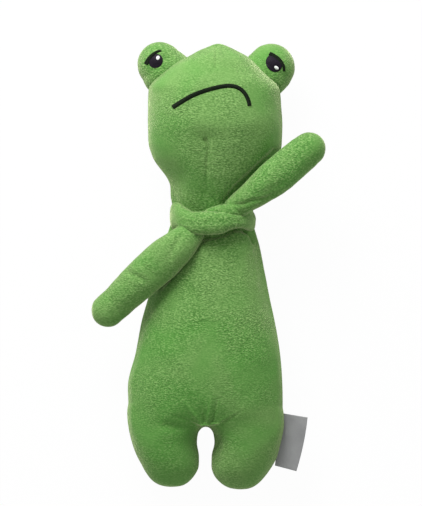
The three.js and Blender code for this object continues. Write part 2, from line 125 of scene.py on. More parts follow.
def smoothstep(value: Array, low: float, high: float) -> Array:
    """Ease from 0 at low to 1 at high as 3t^2 - 2t^3."""
    t = np.clip((value - low) / (high - low), 0.0, 1.0)
    return t * t * (3 - 2 * t)


def unit(vectors: Array) -> Array:
    """Scale each vector to length one."""
    return vectors / np.maximum(np.linalg.norm(vectors, axis=-1, keepdims=True), 1e-12)


def full_turn(count: int) -> Array:
    """Give even angles round a full circle."""
    return np.linspace(0, 2 * np.pi, count, endpoint=False)


def filled_out(wave: Array, power: float) -> Array:
    """Raise the size of a sine or cosine to a power and keep its sign."""
    return np.sign(wave) * np.abs(wave) ** power


def crowded(count: int, share: float) -> Array:
    """Give places from 0 to 1 that crowd towards both ends by a share, half a cosine wave's way."""
    even = np.linspace(0, 1, count)
    return (1 - share) * even + share * (1 - np.cos(np.pi * even)) / 2


def lengths_along(path: Array) -> Array:
    """Add up the steps between the points of a path, from nought."""
    return np.concatenate([[0.0], np.cumsum(np.linalg.norm(np.diff(path, axis=0), axis=1))])


def read_path(path: Array, length: Array, at: Array) -> Array:
    """Read values at lengths along a path, straight between its points."""
    return np.stack([np.interp(at, length, axis) for axis in path.T], axis=1)


def even_path(points: Array, count: int) -> Array:
    """Lay points at even steps on a smooth path through the given ones.

    Formula: cubics through the points with the slope of their neighbours' chord, read finely
    and taken again at even lengths.

    Args:
        points: The points that the path goes through.
        count: How many points to give back.

    Returns:
        Points as (count, 3) or (count, 2).
    """
    chord = lengths_along(points)
    slope = np.gradient(points, chord, axis=0)
    fine = np.linspace(0.0, chord[-1], READS_PER_KNOT * len(points))
    k = np.clip(np.searchsorted(chord, fine, side="right") - 1, 0, len(chord) - 2)
    step = (chord[k + 1] - chord[k])[:, None]
    line = cubic(points, slope, step, k, (fine - chord[k])[:, None] / step)
    length = lengths_along(line)
    return read_path(line, length, np.linspace(0.0, length[-1], count))


def near_mean(places: Array, values: Array, at: Array, reach: float) -> Array:
    """Average values near some points, weighted by exp(-(distance / reach)^2).

    Formula: the values and their number are summed in the cells of a grid, both are blurred with
    the weight by Fourier transform, divided, and read between the cells' middles.

    Args:
        places: Where the values are, as (n, 3) in mm.
        values: The values.
        at: Where to average, as (m, 3) in mm.
        reach: Distance in mm at which the weight has dropped to a third.

    Returns:
        The average at each point.
    """
    cell = reach / CELLS_PER_REACH
    low = np.minimum(places.min(axis=0), at.min(axis=0)) - BLUR_REACHES * reach
    high = np.maximum(places.max(axis=0), at.max(axis=0)) + BLUR_REACHES * reach
    shape = np.ceil((high - low) / cell).astype(int) + 2
    waves = (np.fft.fftfreq(shape[0]), np.fft.fftfreq(shape[1]), np.fft.rfftfreq(shape[2]))
    rates = np.meshgrid(*waves, indexing="ij")
    soften = np.exp(-((np.pi * reach / cell) ** 2) * sum(rate**2 for rate in rates))
    inside = tuple(np.rint((places - low) / cell).astype(int).T)
    grids = []
    for amount in (values, np.ones(len(places))):
        grid = np.zeros(shape)
        np.add.at(grid, inside, amount)
        grids.append(np.fft.irfftn(np.fft.rfftn(grid) * soften, s=tuple(shape), axes=(0, 1, 2)))
    mean = grids[0] / np.maximum(grids[1], 1e-6)
    spot = (at - low) / cell
    corner = np.floor(spot).astype(int)
    part = spot - corner
    read = np.zeros(len(at))
    for step in np.ndindex(2, 2, 2):
        share = np.prod(np.where(step, part, 1 - part), axis=1)
        read += share * mean[tuple((corner + step).T)]
    return read


# Relief


def groove(distance: Array, depth: float, width: float) -> Array:
    """Sink a crease as -depth * exp(-(distance / width)^2)."""
    return -depth * np.exp(-((distance / width) ** 2))


@dataclass(frozen=True)
class Lumps:
    """Soft swellings, as stuffing makes: their height, the length of a wave and a seed."""

    height: float
    size: float
    seed: int
    waves: int = 8
    spread: Spot = (0.7, 1.5)

    def over(self, points: Array) -> Array:
        """Swell and sink a surface softly.

        Formula: height times the mean of some sine waves of about the size, each along its own way.

        Args:
            points: Points of the surface in mm.

        Returns:
            The height in mm at each point.
        """
        chance = np.random.default_rng(self.seed)
        ways = unit(chance.normal(size=(self.waves, 3)))
        lengths = self.size * chance.uniform(*self.spread, self.waves)
        phases = chance.uniform(0, 2 * np.pi, self.waves)
        waves = np.sin(points @ (ways * (2 * np.pi / lengths)[:, None]).T + phases)
        return self.height * waves.mean(axis=1)


@dataclass(frozen=True)
class Crease:
    """A crease along a line drawn on the front, or a raised fold where its depth is negative."""

    line: tuple[Spot, ...]
    depth: float
    width: float
    lost: float = 0.0
    steps: int = 40
    least: float = 0.05

    def beside(self, points: Array) -> tuple[Array, Array]:
        """Measure how far points lie from the line, seen from the front.

        Args:
            points: Points as (n, 3) in mm.

        Returns:
            The distance to the line, and the place along it from 0 to 1.
        """
        path = even_path(np.array(self.line), self.steps)
        away = np.linalg.norm(points[:, None, :2] - path[None], axis=2)
        nearest = away.argmin(axis=1)
        return away[np.arange(len(points)), nearest], nearest / (len(path) - 1)

    def over(self, points: Array) -> Array:
        """Give the crease's height at points: its groove, times 1 - lost * the place along it."""
        away, along = self.beside(points)
        return groove(away, self.depth, self.width) * (1 - self.lost * along)

    def tapered(self, points: Array) -> Array:
        """Give the crease's height, run out at both ends as sqrt(4 a (1 - a)) of the place a along it."""
        away, along = self.beside(points)
        return groove(away, self.depth, self.width) * np.sqrt(np.clip(4 * along * (1 - along), self.least, 1))


@dataclass(frozen=True)
class SideSeam:
    """The seam between front and back panel: a groove drawn in by stitches, between two low lips."""

    depth: float = 1.3
    width: float = 1.3
    pucker: float = 0.35
    stitch: float = 6.5
    lip: float = 0.35
    lip_at: float = 4.0
    lip_width: float = 2.2

    def over(self, along: Array, gap: Array) -> Array:
        """Give the seam's height: a groove with a sine wave of puckers, plus a bell on either side.

        Args:
            along: Place along the seam in mm.
            gap: Distance from the seam in mm.

        Returns:
            The height in mm at each point.
        """
        drawn = 1 + self.pucker * np.sin(2 * np.pi * along / self.stitch)
        lips = groove(np.abs(gap) - self.lip_at, -self.lip, self.lip_width)
        return groove(gap, self.depth, self.width) * drawn + lips


# Meshes


@dataclass
class Shell:
    """A surface of points in mm, with four-sided and three-sided faces of point numbers."""

    points: Array
    quads: Array
    triangles: Array | None = None

    def faces(self, start: int = 0) -> list[list[int]]:
        """List the faces, with the point numbers counted from start."""
        kinds = [self.quads] if self.triangles is None else [self.quads, self.triangles]
        return [face for kind in kinds for face in (kind + start).tolist()]

    def turned_out(self, middle: Array) -> "Shell":
        """Turn the faces over if they point to the middle.

        Args:
            middle: A point inside, or one for each four-sided face.

        Returns:
            The shell with its faces pointing outwards.
        """
        corner = self.points[self.quads]
        outward = np.cross(corner[:, 1] - corner[:, 0], corner[:, 3] - corner[:, 0])
        if (outward * (corner.mean(axis=1) - middle)).sum() < 0:
            self.quads = self.quads[:, ::-1]
            self.triangles = None if self.triangles is None else self.triangles[:, ::-1]
        return self

    def mesh(self, name: str) -> bpy.types.Mesh:
        """Make a smooth-shaded Blender mesh of the shell, in metres.

        Args:
            name: Name of the mesh.

        Returns:
            The mesh.
        """
        made = bpy.data.meshes.new(name)
        made.from_pydata((self.points * MM).tolist(), [], self.faces())
        made.validate()
        made.shade_smooth()
        return made

    def piece(self, name: str, finish: "Finish") -> bpy.types.Object:
        """Put the shell into the scene as a piece with a finish."""
        return placed(name, self.mesh(name), finish)


def tube_shell(rings: Array) -> Shell:
    """Close a grid of rings to a point at both ends.

    Args:
        rings: Points as (rings, sides, 3); the first and the last ring shrink to their middle.

    Returns:
        The closed shell, its faces pointing outwards.
    """
    count, sides = rings.shape[:2]
    points = np.concatenate([rings[0].mean(0)[None], rings[1:-1].reshape(-1, 3), rings[-1].mean(0)[None]])
    ids = 1 + np.arange((count - 2) * sides).reshape(count - 2, sides)
    turned = np.roll(ids, -1, axis=1)
    quads = np.stack([ids[:-1], turned[:-1], turned[1:], ids[1:]], axis=-1).reshape(-1, 4)
    start = np.stack([np.zeros(sides, int), turned[0], ids[0]], axis=1)
    end = np.stack([np.full(sides, len(points) - 1), ids[-1], turned[-1]], axis=1)
    return Shell(points, quads, np.concatenate([start, end])).turned_out(points.mean(axis=0))


def slab_shell(top: Array, under: Array) -> Shell:
    """Join two grids with the same border into a closed pad.

    Args:
        top: Upper points as (rows, columns, 3).
        under: Lower points, in the same order.

    Returns:
        The closed shell, its faces pointing outwards.
    """
    rows, columns = top.shape[:2]
    points = np.concatenate([top.reshape(-1, 3), under.reshape(-1, 3)])
    ids = np.arange(rows * columns).reshape(rows, columns)
    low = ids + rows * columns
    upper = np.stack([ids[:-1, :-1], ids[:-1, 1:], ids[1:, 1:], ids[1:, :-1]], axis=-1).reshape(-1, 4)
    lower = np.stack([low[:-1, :-1], low[1:, :-1], low[1:, 1:], low[:-1, 1:]], axis=-1).reshape(-1, 4)
    around = np.concatenate([ids[0, :-1], ids[:-1, -1], ids[-1, :0:-1], ids[:0:-1, 0]])
    beneath = around + rows * columns
    rim = np.stack([np.roll(around, -1), around, beneath, np.roll(beneath, -1)], axis=1)
    middle = np.concatenate([points[quads].mean(axis=1) for quads in (lower, upper, rim)])
    return Shell(points, np.concatenate([upper, lower, rim])).turned_out(middle)


def vectors_of(mesh: bpy.types.Mesh, name: str) -> Array:
    """Read a vector of each of a mesh's points.

    Args:
        mesh: The mesh.
        name: Name of the vector.

    Returns:
        The vectors as (n, 3).
    """
    flat = np.empty(len(mesh.vertices) * 3)
    mesh.vertices.foreach_get(name, flat)
    return flat.reshape(-1, 3)


def points_of(mesh: bpy.types.Mesh) -> Array:
    """Read a mesh's points in mm."""
    return vectors_of(mesh, "co") * (1 / MM)


def normals_of(mesh: bpy.types.Mesh) -> Array:
    """Read the way out at each of a mesh's points."""
    return vectors_of(mesh, "normal")


def move_points(mesh: bpy.types.Mesh, points: Array) -> None:
    """Write a mesh's points, given in mm."""
    mesh.vertices.foreach_set("co", (points * MM).ravel())
    mesh.update()


def in_scene(name: str, data: bpy.types.ID) -> bpy.types.Object:
    """Put an object with some data into the scene.

    Args:
        name: Name of the object.
        data: Its mesh, light or camera.

    Returns:
        The object.
    """
    made = bpy.data.objects.new(name, data)
    bpy.context.scene.collection.objects.link(made)
    return made


def placed(name: str, mesh: bpy.types.Mesh, finish: "Finish") -> bpy.types.Object:
    """Put a mesh into the scene as a piece with a finish.

    Args:
        name: Name of the piece.
        mesh: Its mesh.
        finish: Its finish.

    Returns:
        The piece.
    """
    piece = in_scene(name, mesh)
    mesh.materials.clear()
    mesh.materials.append(finish.material())
    LOG.info("%s: %d points, %s", name, len(mesh.vertices), finish.slot.value)
    return piece


def evaluated(start: bpy.types.Mesh, modifiers: list[tuple[str, dict]]) -> bpy.types.Mesh:
    """Make a new mesh of a mesh with modifiers applied, and drop the first one.

    Args:
        start: The mesh to start from.
        modifiers: The type and the settings of each modifier.

    Returns:
        The mesh with the modifiers applied.
    """
    holder = in_scene("in_work", start)
    for kind, settings in modifiers:
        modifier = holder.modifiers.new(kind.lower(), kind)
        for key, value in settings.items():
            setattr(modifier, key, value)
    ready = holder.evaluated_get(bpy.context.evaluated_depsgraph_get())
    made = bpy.data.meshes.new_from_object(ready)
    bpy.data.objects.remove(holder)
    bpy.data.meshes.remove(start)
    return made


def even_faces(voxel: float) -> tuple[str, dict]:
    """Describe the modifier that covers a skin with even faces of a size in mm."""
    return "REMESH", {"mode": "VOXEL", "voxel_size": voxel * MM}


def union_mesh(shells: list[Shell], voxel: float, rounds: int) -> bpy.types.Mesh:
    """Melt closed shells that overlap into one even skin.

    Args:
        shells: The shells.
        voxel: Size of the new faces in mm.
        rounds: How often the skin is smoothed.

    Returns:
        The mesh of the skin.
    """
    starts = np.cumsum([0] + [len(shell.points) for shell in shells])
    points = np.concatenate([shell.points for shell in shells])
    mesh = bpy.data.meshes.new("in_work")
    faces = [face for shell, start in zip(shells, starts) for face in shell.faces(start)]
    mesh.from_pydata((points * MM).tolist(), [], faces)
    return evaluated(mesh, [even_faces(voxel), ("SMOOTH", {"factor": 0.5, "iterations": rounds})])


def settled(grid: Array, carrier: bpy.types.Object) -> Array:
    """Drop a grid of points straight down onto a piece.

    Args:
        grid: Points as (rows, columns, 2), seen from the front, in mm.
        carrier: The piece that carries them.

    Returns:
        The points on the piece as (rows, columns, 3).
    """
    high = np.concatenate([grid, np.full((*grid.shape[:2], 1), DROP_FROM)], axis=2)
    mesh = Shell(high.reshape(-1, 3), np.empty((0, 4), int)).mesh("in_work")
    fall = {
        "target": carrier,
        "wrap_method": "PROJECT",
        "use_project_z": True,
        "use_negative_direction": True,
        "use_positive_direction": False,
    }
    return points_of(evaluated(mesh, [("SHRINKWRAP", fall)])).reshape(high.shape)


def lifted(base: Array, height: Array, sunk: float) -> Shell:
    """Make a pad on a surface from its height over it.

    Args:
        base: Points on the surface as (rows, columns, 3).
        height: Height of the pad at each point.
        sunk: How far the underside lies below the surface.

    Returns:
        The closed pad.
    """
    along, across = np.gradient(base, axis=0), np.gradient(base, axis=1)
    normal = unit(np.cross(along, across))
    normal *= np.sign(normal[..., 2].mean())
    return slab_shell(base + normal * height[..., None], base - normal * sunk)


@dataclass(frozen=True)
class Stuffing:
    """The push of the filling on a skin, from a short cloth simulation of a coarse copy."""

    voxel: float = 5.0
    pressure: float = 4.0
    slack: float = 0.03
    frames: int = 20
    quality: int = 6
    most: float = 1.8
    spread: float = 5.0
    kept_form: float = 20.0
    free_slope: Spot = (0.1, 0.6)

    def simulated(self, coarse: bpy.types.Mesh) -> Array:
        """Fill a closed skin for some frames, with pressure and no gravity.

        Args:
            coarse: The skin, which is dropped afterwards.

        Returns:
            How far each of its points has moved outwards, in mm.
        """
        before, normals = points_of(coarse), normals_of(coarse)
        scene = bpy.context.scene
        holder = in_scene("in_work", coarse)
        cloth = holder.modifiers.new("filled", "CLOTH").settings
        cloth.quality = self.quality
        cloth.use_pressure = True
        cloth.uniform_pressure_force = self.pressure
        cloth.shrink_min = -self.slack
        cloth.effector_weights.gravity = 0.0
        for moment in range(1, self.frames + 1):
            scene.frame_set(moment)
        ready = holder.evaluated_get(bpy.context.evaluated_depsgraph_get())
        after = bpy.data.meshes.new_from_object(ready)
        outward = ((points_of(after) - before) * normals).sum(axis=1)
        bpy.data.objects.remove(holder)
        bpy.data.meshes.remove(after)
        bpy.data.meshes.remove(coarse)
        scene.frame_set(1)
        return outward

    def push(self, skin: bpy.types.Mesh) -> Array:
        """Simulate the stuffed skin and give how far each of its points moves outwards.

        Formula: the coarse copy's moves along its normals, less their mean within kept_form so
        that the whole form stays, held to most, spread over the fine skin and let go towards the
        side seams, which keep their line.

        Args:
            skin: The closed skin before it is stuffed.

        Returns:
            A distance in mm along the normal for each point of the skin.
        """
        coarse = evaluated(skin.copy(), [even_faces(self.voxel)])
        before = points_of(coarse)
        outward = self.simulated(coarse)
        outward -= near_mean(before, outward, before, self.kept_form)
        LOG.info("stuffing: %d points, moves of %.2f mm", len(before), outward.std())
        held = np.clip(outward, -self.most, self.most)
        free = smoothstep(np.abs(normals_of(skin)[:, 2]), *self.free_slope)
        return free * near_mean(before, held, points_of(skin), self.spread)


# Finishes


class Slot(Enum):
    """Material slots of the record, which each finish names."""

    PLUSH = "plush"
    BLACK_THREAD = "black_thread"
    WHITE_THREAD = "white_thread"
    RIBBON = "ribbon"
    VINYL = "vinyl"
    REED = "reed_plastic"


def linear(red: int, green: int, blue: int) -> Colour:
    """Turn a colour as seen on a screen, 0 to 255, into the shader's linear one.

    Formula: the sRGB curve, straight below 0.04045 and a power of 2.4 above it.

    Args:
        red: Share of red.
        green: Share of green.
        blue: Share of blue.

    Returns:
        The linear colour with an alpha of one.
    """
    scaled = np.array([red, green, blue]) / 255
    curve = np.where(scaled <= 0.04045, scaled / 12.92, ((scaled + 0.055) / 1.055) ** 2.4)
    return (*(float(value) for value in curve), 1.0)


class Nodes:
    """A node tree, with short ways to add and join nodes."""

    def __init__(self, tree: bpy.types.NodeTree) -> None:
        """Empty the tree."""
        self.tree = tree
        self.tree.nodes.clear()

    @cached_property
    def place(self) -> Socket:
        """Give the piece's own place."""
        return self.node("ShaderNodeTexCoord").outputs["Object"]

    def feed(self, socket: Socket, value: Feed) -> None:
        """Join an input to another node's output, or set it.

        Args:
            socket: The input.
            value: The output, or the input's constant value.
        """
        if isinstance(value, bpy.types.NodeSocket):
            self.tree.links.new(value, socket)
        else:
            socket.default_value = value

    def node(self, kind: str, settings: dict | None = None, **inputs: Feed) -> bpy.types.Node:
        """Add a node.

        Args:
            kind: Its type.
            settings: Its properties.
            inputs: Values or sockets for its inputs, by name with _ for a space.

        Returns:
            The node.
        """
        made = self.tree.nodes.new(kind)
        for key, value in (settings or {}).items():
            setattr(made, key, value)
        for key, value in inputs.items():
            self.feed(made.inputs[key.replace("_", " ")], value)
        return made

    def stretched(self, scale: Point, turn: Point) -> Socket:
        """Give the piece's own place, stretched along its axes and turned."""
        return self.node("ShaderNodeMapping", Vector=self.place, Scale=scale, Rotation=turn).outputs[0]

    def noise(self, scale: float, detail: float = 2.0, distortion: float = 0.0,
              place: Socket | None = None) -> Socket:
        """Add noise from 0 to 1.

        Args:
            scale: Number of waves in a metre.
            detail: Number of finer layers.
            distortion: How much the waves are bent.
            place: Where the noise is read, or the piece's own place.

        Returns:
            The noise.
        """
        made = self.node("ShaderNodeTexNoise", Vector=place or self.place, Scale=scale, Detail=detail,
                         Distortion=distortion)
        return made.outputs["Fac"]

    def bands(self, direction: str, width: float) -> Socket:
        """Add waves from 0 to 1, bent a little.

        Args:
            direction: Axis that the waves follow each other along, "X" or "Y".
            width: Width of a wave in metres.

        Returns:
            The waves.
        """
        settings = {"wave_type": "BANDS", "wave_profile": "SIN", "bands_direction": direction}
        made = self.node("ShaderNodeTexWave", settings, Vector=self.place, Scale=1 / width / 2 / math.pi,
                         Distortion=0.6, Detail=1.0)
        return made.outputs["Fac"]

    def ranged(self, value: Socket, low: float, high: float, to_low: float, to_high: float) -> Socket:
        """Map a value's range from low to high onto another, held at its ends."""
        made = self.node("ShaderNodeMapRange", Value=value, From_Min=low, From_Max=high, To_Min=to_low,
                         To_Max=to_high)
        return made.outputs["Result"]

    def worked(self, operation: str, first: Socket | float, second: Socket | float) -> Socket:
        """Work out two values together.

        Args:
            operation: Name of the sum, such as "MULTIPLY".
            first: The first value.
            second: The second value.

        Returns:
            The result.
        """
        made = self.node("ShaderNodeMath", {"operation": operation})
        self.feed(made.inputs[0], first)
        self.feed(made.inputs[1], second)
        return made.outputs[0]

    def times(self, first: Socket | float, second: Socket | float) -> Socket:
        """Multiply two values."""
        return self.worked("MULTIPLY", first, second)

    def blended(self, first: Socket, second: Socket, share: float) -> Socket:
        """Add two values, the first by a share and the second by the rest."""
        return self.worked("ADD", self.times(first, share), self.times(second, 1 - share))

    def ramp(self, value: Socket, stops: tuple[float, ...], colours: tuple[Colour, ...]) -> Socket:
        """Turn a value into colours.

        Args:
            value: The value, from 0 to 1.
            stops: Where each colour stands.
            colours: The colours.

        Returns:
            The colour.
        """
        made = self.node("ShaderNodeValToRGB", Fac=value)
        scale = made.color_ramp.elements
        while len(scale) < len(stops):
            scale.new(0.5)
        for element, at, colour in zip(scale, stops, colours):
            element.position = at
            element.color = colour
        return made.outputs["Color"]

    def mixed(self, share: Socket, first: Socket | Colour, second: Socket | Colour) -> Socket:
        """Mix two colours.

        Args:
            share: Share of the second one.
            first: The first colour.
            second: The second colour.

        Returns:
            The mixed colour.
        """
        made = self.node("ShaderNodeMix", {"data_type": "RGBA"}, Factor=share)
        self.feed(made.inputs[6], first)
        self.feed(made.inputs[7], second)
        return made.outputs[2]

    def bump(self, height: Socket, depth: float) -> Socket:
        """Add relief of so many metres."""
        return self.node("ShaderNodeBump", Height=height, Distance=depth).outputs["Normal"]


@dataclass(frozen=True)
class Finish:
    """A finish of the toy: its name, its slot in the record and its main colours."""

    name: str
    slot: Slot
    dark: Colour
    main: Colour
    pale: Colour

    def material(self) -> bpy.types.Material:
        """Give the finish's material, made on first use.

        Returns:
            The material.
        """
        made = bpy.data.materials.get(self.name)
        if made is None:
            made = bpy.data.materials.new(self.name)
            made.use_nodes = True
            nodes = Nodes(made.node_tree)
            nodes.node("ShaderNodeOutputMaterial", Surface=self.shader(nodes).outputs[0])
        return made

    def shader(self, nodes: Nodes) -> bpy.types.Node:
        """Make the finish's shader."""
        raise NotImplementedError


@dataclass(frozen=True)
class Plush(Finish):
    """Short-pile plush: a fine pebbled grain that lies crosswise, soft patches and a pale sheen."""

    olive: Colour
    grain: float = 1180.0
    stretch: Point = (0.5, 1.0, 0.8)
    turn: Point = (0.0, 0.0, 0.06)
    relief: float = 0.0011
    smooth_legs: Spot = (-0.02, 0.05)

    def shader(self, nodes: Nodes) -> bpy.types.Node:
        """Mix patches, pebbled grain and single fibres into colour and relief; the grain's colour is partly
        the pile's own tone and partly painted light, painted shade in its hollows and a painted highlight on
        its tips.

        Args:
            nodes: The material's nodes.

        Returns:
            The shader.
        """
        lying = nodes.stretched(self.stretch, self.turn)
        patches = nodes.noise(17, 2.0, 0.6)
        brushed = nodes.noise(26, 2.0, 0.4)
        pebbles = nodes.noise(self.grain, 1.0, 0.3, lying)
        fibres = nodes.noise(2 * self.grain, 1.0)
        body = nodes.mixed(nodes.ranged(patches, 0.38, 0.62, 0.0, 1.0), self.main, self.olive)
        height = nodes.blended(pebbles, fibres, 0.75)
        along = nodes.node("ShaderNodeSeparateXYZ", Vector=nodes.place).outputs["Y"]
        legs = nodes.ranged(along, *self.smooth_legs, 0.75, 1.0)
        strength = nodes.times(nodes.ranged(brushed, 0.34, 0.6, 0.3, 1.15), legs)
        # Grain colour, partly the pile's own tone and partly painted light: the dark share in the low pebbles
        # is painted shade in the hollows, the pale share on the high ones a painted highlight on the fibre
        # tips.
        low = nodes.times(nodes.ranged(height, 0.34, 0.5, 0.6, 0.0), strength)
        high = nodes.times(nodes.ranged(height, 0.5, 0.64, 0.0, 0.75), strength)
        relief = nodes.times(height, nodes.times(strength, self.relief))
        return nodes.node(
            "ShaderNodeBsdfPrincipled",
            Base_Color=nodes.mixed(high, nodes.mixed(low, body, self.dark), self.pale),
            Roughness=nodes.ranged(pebbles, 0.3, 0.7, 0.78, 0.95),
            Normal=nodes.bump(relief, 1.0),
            Specular_IOR_Level=0.1,
            Sheen_Weight=1.0,
            Sheen_Roughness=0.34,
            Sheen_Tint=linear(224, 232, 184),
        )


@dataclass(frozen=True)
class Thread(Finish):
    """Satin-stitch thread: strands side by side, with a fine twist."""

    def shader(self, nodes: Nodes) -> bpy.types.Node:
        """Run fine strands and a soft wear over the colour.

        Args:
            nodes: The material's nodes.

        Returns:
            The shader.
        """
        twist = nodes.noise(1800)
        wear = nodes.noise(120)
        mottle = nodes.blended(twist, wear, 0.6)
        return nodes.node(
            "ShaderNodeBsdfPrincipled",
            Base_Color=nodes.ramp(mottle, (0.3, 0.55, 0.8), (self.dark, self.main, self.pale)),
            Roughness=nodes.ranged(wear, 0.3, 0.7, 0.32, 0.5),
            Normal=nodes.bump(twist, 0.00012),
            Specular_IOR_Level=0.06,
        )


@dataclass(frozen=True)
class Woven(Finish):
    """Woven satin ribbon: fine warp and weft threads with a little fuzz."""

    thread: float = 0.00042

    def shader(self, nodes: Nodes) -> bpy.types.Node:
        """Cross two sets of thread waves and soil them a little.

        Args:
            nodes: The material's nodes.

        Returns:
            The shader.
        """
        weave = nodes.times(nodes.bands("X", self.thread), nodes.bands("Y", self.thread))
        soil = nodes.noise(90, 3.0)
        mottle = nodes.blended(weave, soil, 0.5)
        return nodes.node(
            "ShaderNodeBsdfPrincipled",
            Base_Color=nodes.ramp(mottle, (0.1, 0.4, 0.75), (self.dark, self.main, self.pale)),
            Roughness=nodes.ranged(soil, 0.3, 0.7, 0.5, 0.7),
            Normal=nodes.bump(weave, 0.0001),
            Specular_IOR_Level=0.35,
            Sheen_Weight=0.15,
            Sheen_Roughness=0.4,
        )


@dataclass(frozen=True)
class Moulded(Finish):
    """Moulded vinyl or plastic: an even colour with flow marks and a fine grain."""

    gloss: float = 0.4

    def shader(self, nodes: Nodes) -> bpy.types.Node:
        """Lay flow marks and grain over the colour.

        Args:
            nodes: The material's nodes.

        Returns:
            The shader.
        """
        flow = nodes.noise(60, 3.0, 1.2)
        grain = nodes.noise(1400)
        return nodes.node(
            "ShaderNodeBsdfPrincipled",
            Base_Color=nodes.ramp(flow, (0.3, 0.5, 0.75), (self.dark, self.main, self.pale)),
            Roughness=nodes.ranged(flow, 0.3, 0.7, self.gloss, self.gloss + 0.15),
            Normal=nodes.bump(grain, 0.00005),
            Specular_IOR_Level=0.5,
        )


# The plush's dark colour goes into the grain's low pebbles as painted shade and its pale one onto the high
# pebbles as a painted highlight, both also partly the pile's own tone.
PLUSH = Plush(
    "green_plush", Slot.PLUSH, linear(60, 103, 43), linear(88, 144, 65), linear(144, 183, 110),
    linear(107, 149, 80),
)
BLACK = Thread(
    "mouth_thread", Slot.BLACK_THREAD, linear(6, 13, 5), linear(16, 27, 12), linear(40, 54, 32),
)
CHARCOAL = Thread(
    "pupil_thread", Slot.BLACK_THREAD, linear(16, 13, 18), linear(32, 26, 36), linear(54, 44, 60),
)
WHITE = Thread(
    "glint_thread", Slot.WHITE_THREAD, linear(205, 208, 204), linear(236, 238, 235), linear(250, 250, 248),
)
RIBBON = Woven(
    "label_ribbon", Slot.RIBBON, linear(126, 126, 127), linear(148, 149, 149), linear(168, 169, 169),
)
VINYL = Moulded(
    "squeaker_vinyl", Slot.VINYL, linear(214, 209, 190), linear(228, 224, 208), linear(238, 235, 222),
)
REED = Moulded(
    "reed_holder_plastic", Slot.REED, linear(196, 58, 48), linear(216, 72, 60), linear(228, 96, 82), 0.3,
)


# Body


@dataclass(frozen=True)
class Station:
    """One ring of a stuffed form: its place along the body, its two sides, its middle and its depth."""

    at: float
    left: float
    right: float
    centre: float
    deep: float


@dataclass(frozen=True)
class Loft:
    """A stuffed form through stations, with its grid of rings and sides."""

    stations: tuple[Station, ...]
    rings: int = 60
    sides: int = 72
    power: float = 0.93
    crowding: float = 0.25

    def read(self, key: str, at: Array) -> Array:
        """Read one measure of the stations smoothly at places along the body."""
        knots = np.array([station.at for station in self.stations])
        return smooth_curve(knots, np.array([getattr(station, key) for station in self.stations]), at)

    def shell(self) -> Shell:
        """Carry a rounded section along the body through the stations.

        Formula: x = middle + half * c(a), z = centre + deep * s(a), with c and s the cosine and
        sine filled out a little by a power.

        Returns:
            The closed form.
        """
        first, last = self.stations[0].at, self.stations[-1].at
        y = first + (last - first) * crowded(self.rings, self.crowding)
        measures = ("left", "right", "centre", "deep")
        left, right, centre, deep = (self.read(key, y)[:, None] for key in measures)
        angle = full_turn(self.sides)[None]
        x = (left + right) / 2 + (right - left) / 2 * filled_out(np.cos(angle), self.power)
        z = centre + deep * filled_out(np.sin(angle), self.power)
        return tube_shell(np.stack([x, np.broadcast_to(y[:, None], x.shape), z], axis=2))


CHIN_LINE = ((-6.0, 184.4), (-4.4, 180.7), (-4.1, 165.7), (-4.1, 146.5))


